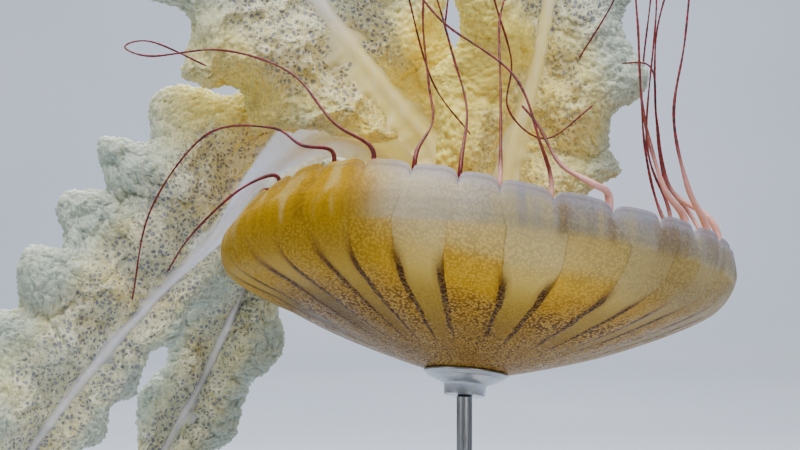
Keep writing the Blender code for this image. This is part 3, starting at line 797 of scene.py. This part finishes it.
ARMS = {
    "left": {
        "leaves": (-8, 10), "turn": (0, 0, 0, 6, 14, 24, 38),
        "stops": ((-40, 58, 58), (-84, 76, 80), (-124, 80, 58), (-160, 76, 18), (-191, 66, -16),
                  (-223, 54, -52), (-248, 42, -84), (-269, 34, -114), (-288, 30, -148),
                  (-304, 28, -180)),
        "upper": {"web": (10, 26, 14, 12, 4), "from": 0.31, "width": (44, 70, 62, 54, 30),
                  "half": 20, "lobes": 8},
        "lower": {"web": (9, 9, 9, 8, 4), "from": 0.44, "width": (12, 22, 26, 18), "half": 14,
                  "lobes": 7},
    },
    "far": {
        "leaves": (-4, 21), "turn": (0, 0, 10, 25, -10, -35),
        "stops": ((-34, 84, 52), (-76, 122, 60), (-117, 148, 36), (-143, 154, -4), (-157, 152, -38),
                  (-172, 150, -72), (-192, 146, -110), (-210, 142, -146), (-222, 138, -180)),
        "upper": {"web": (8, 8, 8, 4), "from": 0.34, "width": (12, 28, 22), "half": 15, "lobes": 6},
        "lower": {"web": (8, 8, 8, 4), "from": 0.40, "width": (12, 33, 24), "half": 15, "lobes": 5},
    },
    "upper": {
        "leaves": (-6, -1), "turn": (0, 0, 0, -10, -30, -50),
        "stops": ((-20, 32, 64), (-42, 40, 96), (-66, 42, 126), (-88, 42, 155), (-108, 42, 186),
                  (-122, 40, 220), (-128, 38, 256), (-126, 36, 292), (-118, 34, 322)),
        "upper": {"web": (9, 12, 16, 12, 4), "from": 0.12, "width": (22, 46, 44, 22), "half": 18,
                  "lobes": 6},
        "lower": {"web": (9, 10, 18, 12, 4), "from": 0.30, "width": (34, 66, 80, 56, 26),
                  "half": 19, "lobes": 6},
    },
    "right": {
        "leaves": (10, -12), "turn": (0, 0, -4, -14, -34, -58),
        "stops": ((20, -10, 66), (30, -10, 98), (38, -10, 134), (44, -10, 170), (46, -10, 206),
                  (42, -10, 244), (34, -10, 282), (28, -10, 312)),
        "upper": {"web": (9, 14, 14, 10, 4), "from": 0.06, "width": (42, 48, 40, 34, 18),
                  "half": 17, "lobes": 6},
        "lower": {"web": (9, 12, 12, 9, 4), "from": 0.10, "width": (36, 44, 40, 20), "half": 16,
                  "lobes": 5},
    },
}
BELL_AXIS = bell_to_world(0.0, 0.0, 1.0) - BELL_CENTRE
ARM_STEP = 1.5 * MM
RUFFLE = 8 * MM
LOBE_DEPTH = 0.16


def smooth_course(stops, step):
    """Points at even distances along a smooth curve through the stops."""
    stops = [np.array(s, dtype=float) for s in stops]
    ends = [2 * stops[0] - stops[1]] + stops + [2 * stops[-1] - stops[-2]]
    fine = []
    for i in range(1, len(ends) - 2):
        p0, p1, p2, p3 = ends[i - 1:i + 3]
        for t in np.linspace(0, 1, 24, endpoint=False):
            fine.append(0.5 * (2 * p1 + (p2 - p0) * t + (2 * p0 - 5 * p1 + 4 * p2 - p3) * t ** 2
                               + (3 * p1 - 3 * p2 + p3 - p0) * t ** 3))
    fine.append(stops[-1])
    fine = np.array(fine)
    distance = np.concatenate([[0], np.cumsum(np.linalg.norm(np.diff(fine, axis=0), axis=1))])
    count = max(3, int(round(distance[-1] / step)) + 1)
    even = np.linspace(0, distance[-1], count)
    return np.array([np.interp(even, distance, fine[:, k]) for k in range(3)]).T, even


def along(values, share):
    return np.interp(share, np.linspace(0, 1, len(values)), values)


def units(vectors):
    return vectors / np.linalg.norm(vectors, axis=-1, keepdims=True)


def arm_frames(arm):
    """Places along an arm with the direction across its web and the one through it."""
    across, depth = arm["leaves"]
    base = bell_to_world(across * MM, depth * MM, MOUTH_FLOOR + MOUTH_HEIGHT + GAP)
    stops = [base, base + BELL_AXIS * 12 * MM]
    stops += [BELL_CENTRE + np.array(s) * MM for s in arm["stops"]]
    course, distance = smooth_course(stops, ARM_STEP)
    head = np.gradient(course, axis=0)
    head = np.array([smoothed(line, 13) for line in head.T]).T
    head = units(head)
    share = distance / distance[-1]
    flat = units(np.cross(head, (0.0, -1.0, 0.0)))
    back = np.cross(flat, head)
    turn = np.radians(along(arm["turn"], share))[:, None]
    side = flat * np.cos(turn) + back * np.sin(turn)
    return course, head, side, np.cross(side, head), share, distance


def web_surface(arm, seed):
    """Round the section of a web, with a rib in its middle and edges that wave more and more."""
    course, _, side, through, share, distance = arm_frames(arm)
    top = len(course) - 1

    def surface(column, row):
        at = np.rint(row * top).astype(int)
        here = share[at]
        bearing = column * 2 * math.pi
        reach = np.cos(bearing)
        upper, lower = (along(arm[edge]["web"], here) for edge in ("upper", "lower"))
        wide = np.where(reach > 0, upper, lower) + 3.0
        rib = np.exp(-(reach * wide / 3.2) ** 2)
        half = (0.55 + 3.0 * rib * (1 - 0.6 * here)) * np.sqrt(np.clip(1 - reach ** 2, 0, 1)) + 0.35
        half = half * np.sign(np.sin(bearing))
        travelled = distance[at] / MM
        wave = (np.sin(travelled * 2 * math.pi / 31 + seed)
                + 0.6 * np.sin(travelled * 2 * math.pi / 13 + 2 * seed))
        sway = wave * 2.4 * np.abs(reach) ** 1.5 * np.clip(here / 0.15, 0, 1)
        ends = np.clip(np.minimum(here / 0.02, (1 - here) / 0.05), 0, 1) ** 0.5
        u, v = (reach * wide * ends)[:, None], ((half + sway) * ends)[:, None]
        return course[at] + (side[at] * u + through[at] * v) * MM

    return surface, top


ARM_SEEDS = {"left": 1.0, "far": 2.4, "upper": 3.1, "right": 4.7}
web_material = clear_jelly("web_clear", (230, 228, 242), (200, 200, 226), 0.2, ribbed=True)
for name, arm in ARMS.items():
    surface, rows = web_surface(arm, ARM_SEEDS[name])
    web = shape_grid("web", 56, rows, surface)
    web.data.uv_layers[0].name = "OFBake"
    web.data.materials.append(web_material)
    settle(web, "web_" + name)
    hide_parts("arm_%s_web" % name)


# ---- Oral arms: frills -------------------------------------------------------------------------
# Both edges of each arm carry a curtain that is gathered so tightly that it looks like lace or the
# head of a cauliflower. Big folds carry knobs, and the knobs carry a net of fine walls with open
# pits between them. It is one soft skin, pressed out in four steps from a plain lobed body.

def noise_texture(name, kind, basis, size, twist=0.0):
    texture = bpy.data.textures.new(name, kind)
    texture.noise_basis = basis
    texture.noise_scale = size
    if kind == "DISTORTED_NOISE":
        texture.noise_distortion = "BLENDER_ORIGINAL"
        texture.distortion = twist
    return texture


swell_noise = noise_texture("swell_noise", "CLOUDS", "BLENDER_ORIGINAL", 42 * MM)
fold_cells = noise_texture("fold_cells", "DISTORTED_NOISE", "VORONOI_F1", 24 * MM, 0.7)
knob_cells = noise_texture("knob_cells", "DISTORTED_NOISE", "VORONOI_F1", 8.5 * MM, 0.8)
lace_cells = noise_texture("lace_cells", "DISTORTED_NOISE", "VORONOI_F2_F1", 4.4 * MM, 1.1)
thread_cells = noise_texture("thread_cells", "DISTORTED_NOISE", "VORONOI_F1", 2.6 * MM, 0.8)


def frill_surface(arm, edge):
    course, _, side, through, share, distance = arm_frames(arm)
    frill = arm[edge]
    sign = 1 if edge == "upper" else -1
    first = int(np.searchsorted(share, frill["from"]))
    length = distance[-1] - distance[first]
    rows = int(length / (0.85 * MM))

    def surface(column, row):
        here = frill["from"] + (1 - frill["from"]) * row
        place = np.array([np.interp(here, share, course[:, k]) for k in range(3)]).T
        out = units(np.array([np.interp(here, share, side[:, k]) for k in range(3)]).T)
        thick = units(np.array([np.interp(here, share, through[:, k]) for k in range(3)]).T)
        bearing = (column - 0.5) * 2 * math.pi
        wave = 2 * math.pi * frill["lobes"] * row
        ends = np.minimum(1.0, np.minimum(0.35 + row / 0.2, 0.16 + (1 - row) / 0.3))
        width = along(frill["width"], row) * ends * (1 + LOBE_DEPTH * np.sin(wave))
        half = (frill["half"] - 2.5) * ends * (1 + LOBE_DEPTH * np.cos(wave + 1.0))
        sway = RUFFLE / MM * ends * np.sin(wave * 0.5 + 0.8)
        reach = 0.5 + 0.5 * np.cos(bearing)
        body = np.clip(reach / 0.4, 0, 1)
        close = np.clip(np.minimum(row, 1 - row) * rows / 9, 0, 1)
        close = np.sqrt(1 - (1 - close) ** 2)
        root = along(arm[edge]["web"], here)
        lap = 0.85 * np.clip((row - 0.04) / 0.25, 0, 1)
        width = width + root * lap
        u = root * (1 - lap) - 1.0 + (width - 4.0) * (0.3 + (reach - 0.3) * close)
        v = half * np.sin(bearing) * body * close + sway * reach
        return place + (out * (sign * u)[:, None] + thick * v[:, None]) * MM

    return surface, rows


def felt_at(points, texture):
    """The texture's value at each point."""
    return np.array([texture.evaluate(Vector(point))[3] for point in points])


def ease(value, low, high):
    share = np.clip((value - low) / (high - low), 0, 1)
    return share * share * (3 - 2 * share)


def press(piece, amount):
    """Move each point along its own normal."""
    move_points(piece, points_of(piece) + points_of(piece, "normal") * amount[:, None])


def label_points(piece, label, values):
    layer = piece.data.attributes.new(label, "FLOAT", "POINT")
    layer.data.foreach_set("value", values.astype(np.float32))


def outwards_of(points, arm, edge):
    """How far out each place lies, from 0 at the middle of the web to 1 at the outer edge, and
    how many metres past the frill's own root."""
    course, *_, share, _ = arm_frames(arm)
    outwards = np.zeros(len(points))
    past_root = np.zeros(len(points))
    for start in range(0, len(points), 20000):
        part = points[start:start + 20000]
        gaps = np.linalg.norm(part[:, None, :] - course[None, ::3, :], axis=2)
        nearest = gaps.argmin(axis=1)
        here = share[::3][nearest]
        within = np.clip((here - arm[edge]["from"]) / (1 - arm[edge]["from"]), 0, 1)
        root = along(arm[edge]["web"], here)
        reach = (root + 0.8 * along(arm[edge]["width"], within)) * MM
        outwards[start:start + 20000] = gaps.min(axis=1) / reach
        bare = root * (1 - 0.85 * np.clip((within - 0.04) / 0.25, 0, 1))
        past_root[start:start + 20000] = gaps.min(axis=1) - bare * MM
    return outwards, past_root


GOLD_SPOT = (-0.138, 0.05, 0.408)
LACE_SCALE = 300.0
FINE_LACE_SCALE = 640.0


def frill_jelly():
    material, tree, shader = new_material("frill_lace")
    place = place_of(tree)

    def noted(label):
        node = tree.nodes.new("ShaderNodeAttribute")
        node.attribute_name = label
        return Value(node.outputs["Fac"])

    pit, lace, outwards = noted("pit"), noted("lace"), noted("outwards")
    patches = noise(place, 17.0, 3.0, 0.6)
    cream = mix(spread(patches, 0.4, 0.66), linear(218, 221, 176), linear(238, 219, 124))
    cool = noise(place_of(tree, shift=(0.3, 0.1, 0.2)), 16.0, 2.0)
    rim = outwards + (cool - 0.5) * 1.2
    cream = mix(spread(rim, 0.45, 0.95, 0.0, 0.9), cream, linear(186, 198, 186))
    by_mouth = near_spot(tree, MOUTH_FRONT, 0.055, 0.1)
    gold = maths("MAXIMUM", by_mouth, near_spot(tree, GOLD_SPOT, 0.024, 0.078))
    cream = mix(gold * 0.9, cream, linear(255, 230, 100))

    # The lace: rounded openings of very different sizes between thin bright walls, and a finer net
    # over all. Towards the outer edge the openings are closed and shallow.
    curled = warped(place, 330.0, 0.0022, detail=1.0)
    walls = spread(noise(place, 110.0, 2.0), 0.36, 0.6, 0.22, 0.045)
    open_lace = lace * (1.0 - by_mouth * 0.7)
    past_wall = voronoi(curled, LACE_SCALE) - walls
    rounded = fade(voronoi(curled, LACE_SCALE, "F1"), 0.36, 0.52)
    hole = spread(past_wall, 0.0, 0.1) * rounded
    hole = hole * spread(open_lace, 0.08, 0.5, 0.16, 1.0)
    rims = fade(past_wall, -0.02, 0.04) * spread(open_lace, 0.1, 0.5)
    to_thread = voronoi(curled, FINE_LACE_SCALE)
    fine_pit = spread(to_thread, 0.08, 0.3) * spread(lace, 0.0, 0.8, 0.5, 0.45)
    fine_pit = fine_pit * (1.0 - by_mouth * 0.9)
    # Painted shade fills the openings, the fine net and the pits; their walls are lightened.
    hollow = maths("MAXIMUM", hole, maths("MAXIMUM", fine_pit, pit * 0.35))
    shadow = mix(spread(outwards, 0.5, 1.0), linear(112, 116, 146), linear(138, 150, 144))
    cream = mix(rims * 0.5, cream, linear(252, 248, 222))
    colour = mix(hollow * 0.85, cream, shadow)
    link(colour, shader.inputs["Base Color"])
    link(spread(patches, 0.3, 0.7, 0.4, 0.55), shader.inputs["Roughness"])
    set_fixed(shader, {"IOR": 1.35, "Subsurface Weight": 0.5,
                       "Subsurface Radius": (1.0, 0.95, 0.7), "Subsurface Scale": 0.0035})
    relief(shader, rims - hollow, 0.0008, 0.9)
    return material


# The heights of the swellings, folds and knobs are in millimetres. A frill moves freely only some
# way past its own root.
SWELL_HEIGHT = 11
FOLD_HEIGHT = 4.2
KNOB_HEIGHT = 1.9
FREE_AFTER = 9 * MM
frill_material = frill_jelly()
for name, arm in ARMS.items():
    for edge in ("upper", "lower"):
        surface, rows = frill_surface(arm, edge)
        widest = max(arm[edge]["width"])
        around_count = int(min(230, 60 + widest * 2.2))
        frill = shape_grid("frill", around_count, rows, surface)
        frill.data.uv_layers[0].name = "OFBake"
        outwards, past_root = outwards_of(points_of(frill), arm, edge)
        free = 0.12 + 0.88 * ease(past_root, 0.0, FREE_AFTER)
        swell = felt_at(points_of(frill), swell_noise)
        press(frill, (swell - 0.5) * SWELL_HEIGHT * MM * free)
        folds = felt_at(points_of(frill), fold_cells)
        press(frill, (0.25 - ease(folds, 0.0, 0.85)) * FOLD_HEIGHT * MM * free)
        base = points_of(frill)
        patch = ease(felt_at(base + 0.4, swell_noise), 0.36, 0.56)
        lace = (1 - ease(outwards, 0.45, 0.95)) * (0.4 + 0.6 * patch)
        knobs = felt_at(base, knob_cells)
        press(frill, (0.25 - ease(knobs, 0.0, 0.85)) * KNOB_HEIGHT * MM * free)
        base = points_of(frill)
        pits = ease(felt_at(base, lace_cells) + 1, 0.14, 0.5) * lace
        threads = felt_at(base, thread_cells)
        outer = ease(outwards, 0.5, 0.9)
        press(frill, (0.5 - pits * 0.8 - threads * (0.8 + 1.0 * outer)) * MM * free)
        for label, values in (("pit", pits), ("lace", lace), ("outwards", outwards)):
            label_points(frill, label, values)
        frill.data.materials.append(frill_material)
        pick(frill)
        bpy.ops.object.transform_apply(location=True, rotation=True, scale=True)
        bpy.ops.object.shade_smooth()
        frill.name = "frill_%s_%s" % (name, edge)
        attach(frill, "root")
        node = "arm_%s_%s_frill" % (name, edge)
        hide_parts(node + "_1", node + "_2")


# ---- Tentacles ---------------------------------------------------------------------------------
# Thin elastic threads that rise from the clefts of the margin. A root is thick, pale and pink. It
# narrows within a few centimetres to a dark red thread with beads of stinging cells round it.

FRONT_COURSES = {
    13: ((-132, -62, 45), (-159, -58, 20), (-174, -50, -2)),
    11: ((-96, -98, 68), (-113, -85, 78), (-150, -65, 75), (-183, -45, 34), (-195, -35, -18)),
    10: ((-79, -102, 80), (-103, -82, 108), (-142, -60, 122), (-183, -45, 120), (-199, -38, 126),
         (-185, -26, 130), (-153, -22, 116)),
    9: ((-26, -82, 82), (-28, -68, 103), (-31, -52, 143), (-26, -48, 178), (-12, -46, 222)),
    8: ((-8, -90, 88), (-15, -74, 118), (-26, -66, 157), (-40, -60, 190), (-58, -56, 230)),
    7: ((10, -92, 97), (11, -66, 139), (20, -54, 170), (13, -46, 186), (8, -38, 160),
        (19, -36, 119), (17, -38, 91), (38, -40, 74), (66, -36, 94)),
    6: ((29, -122, 68), (16, -104, 105), (-21, -86, 135), (-40, -72, 162), (-42, -58, 170),
        (-38, -40, 150), (-25, -32, 106), (-3, -30, 76)),
    5: ((56, -124, 47), (40, -110, 58), (30, -92, 79), (21, -84, 91)),
    3: ((97, -92, 46), (88, -76, 88), (87, -60, 139), (84, -48, 176), (76, -38, 151),
        (57, -31, 119)),
    2: ((113, -70, 47), (107, -60, 86), (115, -48, 129), (121, -36, 181), (121, -28, 213),
        (115, -20, 250)),
    1: ((129, -36, 31), (110, -24, 47), (103, -20, 86), (99, -28, 115), (80, -36, 117)),
    30: ((118, 62, 30), (108, 66, 70), (106, 68, 115), (112, 70, 170), (118, 74, 235)),
    31: ((131, 36, 32), (114, 38, 60), (111, 44, 135), (123, 50, 193), (114, 60, 256)),
    29: ((126, 90, 34), (112, 92, 79), (119, 98, 168), (117, 110, 244)),
}
ORGAN_EVERY = 4
RELAXED = (1, 2, 3, 5, 29, 30, 31)
PARTED = (2, 5, 6, 18, 20, 22, 23, 24, 25)
DRAWN_IN = range(14, 22)
DRAWN_IN_REACH = 42 * MM
DRAWN_IN_DROP = 30 * MM
DRAWN_IN_TURN = 0.16
TRAIL_FIRST = 22
TRAIL_LAST = 27
TRAIL_LEFT = -12 * MM
TRAIL_RIGHT = 70 * MM
TRAIL_DEPTH = 92 * MM
TRAIL_RISE = 235 * MM
TENTACLE_ROOT = 2.1 * MM
TENTACLE_BODY = 0.72 * MM
TENTACLE_TIP = 0.5 * MM


def root_place(cleft, rise):
    """A place just inside the rim at a cleft, rise above or below the cleft's edge."""
    angle = cleft_angle(cleft)
    radius = rim_radius(angle) - WALL_RIM - TENTACLE_ROOT - 2 * MM
    return bell_to_world(radius * math.cos(angle), -radius * math.sin(angle),
                         skirt_height(angle) + rise)


def tentacle_stops(cleft):
    if cleft in FRONT_COURSES:
        return [BELL_CENTRE + np.array(s) * MM for s in FRONT_COURSES[cleft]]
    angle = cleft_angle(cleft)
    stops = []
    if cleft in DRAWN_IN:
        for share in (0.35, 0.7, 1.0):
            radius = rim_radius(angle) - 8 * MM - DRAWN_IN_REACH * share
            turn = angle + DRAWN_IN_TURN * math.sin(1.7 * cleft) * share
            height = skirt_height(angle) + 9 * MM - DRAWN_IN_DROP * share ** 2
            stops.append(bell_to_world(radius * math.cos(turn), -radius * math.sin(turn), height))
        return stops
    lane = (TRAIL_LAST - cleft) / (TRAIL_LAST - TRAIL_FIRST)
    across = TRAIL_LEFT + (TRAIL_RIGHT - TRAIL_LEFT) * (1 - lane)
    start = root_place(cleft, 12 * MM)
    for share in (0.22, 0.5, 0.75, 1.0):
        swing = 9 * MM * math.sin(4.0 * share + 1.3 * cleft)
        sway = 6 * MM * math.sin(1.1 * cleft + 3 * share)
        gather = min(1.0, 2.2 * share)
        x = start[0] + (across - start[0]) * gather + swing
        y = start[1] + (TRAIL_DEPTH - start[1]) * gather + sway
        z = start[2] + TRAIL_RISE * share * (1 + 0.1 * math.sin(2.1 * cleft))
        stops.append(np.array([x, y, z]))
    return stops


def tentacle_surface(cleft):
    root = [root_place(cleft, -7 * MM), root_place(cleft, 10 * MM)]
    course, distance = smooth_course(root + tentacle_stops(cleft), 1.2 * MM)
    course = np.array([smoothed(line, 11) for line in course.T]).T
    head = units(np.gradient(course, axis=0))
    side = np.zeros_like(course)
    side[0] = np.cross(head[0], (0.3, -1.0, 0.2))
    side[0] /= np.linalg.norm(side[0])
    for i in range(1, len(course)):
        side[i] = side[i - 1] - head[i] * np.dot(side[i - 1], head[i])
        side[i] /= np.linalg.norm(side[i])
    through = np.cross(head, side)
    travelled = distance / MM
    relaxed = cleft in RELAXED
    taper = np.exp(-(travelled / (48 if relaxed else 26)) ** 1.5)
    slim = TENTACLE_BODY + (TENTACLE_TIP - TENTACLE_BODY) * distance / distance[-1]
    radius = slim + (TENTACLE_ROOT * (1.2 if relaxed else 0.75) - slim) * taper
    beads = np.sin(travelled * 2 * math.pi / 4.1 + cleft) * np.clip((travelled - 40) / 60, 0, 1)
    slack = (np.sin(travelled * 2 * math.pi / 57 + 2 * cleft)
             + np.sin(travelled * 2 * math.pi / 23 + cleft))
    radius = radius * (1 + 0.09 * beads + 0.1 * slack * np.clip(travelled / 60, 0, 1))
    radius[0] = radius[-1] = 0
    radius[1] *= 0.6
    radius[-2] *= 0.6
    last = len(course) - 1

    def surface(column, row):
        at = np.rint(row * last).astype(int)
        angle = column * 2 * math.pi
        u, v = (np.cos(angle) * radius[at])[:, None], (np.sin(angle) * radius[at])[:, None]
        return course[at] + side[at] * u + through[at] * v

    return surface, last, distance[-1]


def tentacle_jelly(name, pale_length, whole_length):
    """Pink and clear at the root, then dark red with darker beads."""
    material, tree, shader = new_material(name)
    travelled = own_uv(tree)[1] * (whole_length / MM)
    dark = spread(travelled, pale_length * 0.35, pale_length)
    place = place_of(tree)
    beads = spread(noise(place, 260.0, 3.0), 0.4, 0.62)
    red = mix(beads, linear(122, 30, 48), linear(70, 12, 26))
    brown = mix(spread(noise(place, 45.0, 2.0), 0.42, 0.6), red, linear(104, 30, 24))
    colour = mix(dark, linear(226, 168, 160), brown)
    link(colour, shader.inputs["Base Color"])
    link(spread(beads, 0.0, 1.0, 0.24, 0.38), shader.inputs["Roughness"])
    set_fixed(shader, {"IOR": 1.37, "Subsurface Weight": 0.35,
                       "Subsurface Radius": (1.0, 0.35, 0.3), "Subsurface Scale": 0.0015})
    relief(shader, beads, 0.00025, 0.7)
    return material


number = 0
for cleft in range(LAPPETS):
    if cleft % ORGAN_EVERY == 0 and cleft not in FRONT_COURSES:
        continue
    number += 1
    surface, rows, length = tentacle_surface(cleft)
    strand = shape_grid("strand", 12, rows, surface)
    strand.data.uv_layers[0].name = "OFBake"
    pale = 75.0 if cleft in RELAXED else 26.0 if cleft < 8 else 8.0
    strand.data.materials.append(tentacle_jelly("strand_%02d_skin" % number, pale, length))
    settle(strand, "strand_%02d" % number)
    node = "tentacle_%02d" % number
    if number in PARTED:
        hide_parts(node + "_1", node + "_2")
    else:
        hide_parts(node)


# ---- Floor and backdrop ------------------------------------------------------------------------
# A plain pale sweep: a floor that curves up into a wall far behind the model.

SWEEP_WIDTH = 12.0
SWEEP_FRONT = 5.0
SWEEP_BACK = 4.4
SWEEP_ROUND = 1.2
SWEEP_WALL = 2.4
start_clean()
bpy.ops.mesh.primitive_plane_add(size=1.0, location=(0, 0, 0))
sweep = bpy.context.object
sweep.scale = (SWEEP_WIDTH, SWEEP_BACK - SWEEP_ROUND + SWEEP_FRONT, 1.0)
sweep.location = (0, (SWEEP_BACK - SWEEP_ROUND - SWEEP_FRONT) / 2, 0)
pick(sweep)
bpy.ops.object.transform_apply(location=True, rotation=True, scale=True)
back = max(v.co.y for v in sweep.data.vertices)
for edge in sweep.data.edges:
    edge.select = all(sweep.data.vertices[v].co.y > back - 0.001 for v in edge.vertices)
for vertex in sweep.data.vertices:
    vertex.select = vertex.co.y > back - 0.001
bpy.ops.object.mode_set(mode="EDIT")
bpy.ops.mesh.select_mode(type="EDGE")
bpy.ops.mesh.spin(steps=24, angle=math.radians(90), center=(0, back, SWEEP_ROUND), axis=(-1, 0, 0))
bpy.ops.mesh.extrude_region_move(TRANSFORM_OT_translate={"value": (0, 0, SWEEP_WALL)})
bpy.ops.mesh.select_all(action="SELECT")
bpy.ops.mesh.normals_make_consistent(inside=False)
bpy.ops.object.mode_set(mode="OBJECT")
sweep.name = "sweep"
bpy.ops.object.shade_smooth()
sweep_material, tree, shader = new_material("sweep_paint")
shade = spread(noise(place_of(tree), 1.3, 2.0), 0.3, 0.7)
link(mix(shade, linear(196, 206, 222), linear(204, 212, 226)), shader.inputs["Base Color"])
link(spread(noise(place_of(tree), 40.0, 3.0), 0.3, 0.7, 0.8, 0.9), shader.inputs["Roughness"])
sweep.data.materials.append(sweep_material)


# ---- Light -------------------------------------------------------------------------------------
# Soft studio panels: a large one above, a broad one in front and to the right, a weak one at the
# left, one behind that lets the thin jelly glow, and one for the backdrop alone.

def panel(name, place, target, size, power, tint=(1.0, 1.0, 1.0)):
    start_clean()
    bpy.ops.object.light_add(type="AREA", location=place)
    lamp = bpy.context.object
    lamp.name = name
    lamp.data.shape = "RECTANGLE"
    lamp.data.size, lamp.data.size_y = size
    lamp.data.energy = power
    lamp.data.color = tint
    aim = Vector(target) - Vector(place)
    lamp.rotation_euler = aim.to_track_quat("-Z", "Y").to_euler()
    return lamp


panel("top_panel", (-0.1, -0.3, 1.45), (-0.05, 0.0, 0.35), (1.3, 1.0), 28)
panel("front_panel", (0.9, -1.6, 1.0), (-0.03, 0.0, 0.32), (1.0, 1.0), 9, (1.0, 0.98, 0.95))
panel("left_panel", (-1.5, -0.9, 0.9), (-0.15, 0.0, 0.36), (0.9, 0.9), 5, (0.95, 0.97, 1.0))
panel("back_panel", (-0.1, 1.05, 1.15), (-0.05, 0.0, 0.4), (1.2, 0.6), 20, (0.96, 0.98, 1.0))
panel("wall_panel", (0.0, 1.9, 3.2), (0.0, 3.4, 0.0), (4.0, 2.0), 150, (0.98, 0.99, 1.0))

world = bpy.data.worlds.new("studio")
bpy.context.scene.world = world
world.use_nodes = True
set_fixed(world.node_tree.nodes["Background"],
          {"Color": (0.96, 0.97, 1.0, 1.0), "Strength": 0.26})


# ---- Camera ------------------------------------------------------------------------------------
# A level camera at the height of the bell, a little over a metre away.

CAMERA_AT = (-0.0437, -1.10, 0.3207)
LEVEL = math.radians(90)
LENS = 85
SENSOR_WIDTH = 36
start_clean()
bpy.ops.object.camera_add(location=CAMERA_AT, rotation=(LEVEL, 0, 0))
camera = bpy.context.object
camera.name = "camera"
camera.data.lens = LENS
camera.data.sensor_width = SENSOR_WIDTH
camera.data.dof.use_dof = False
bpy.context.scene.camera = camera
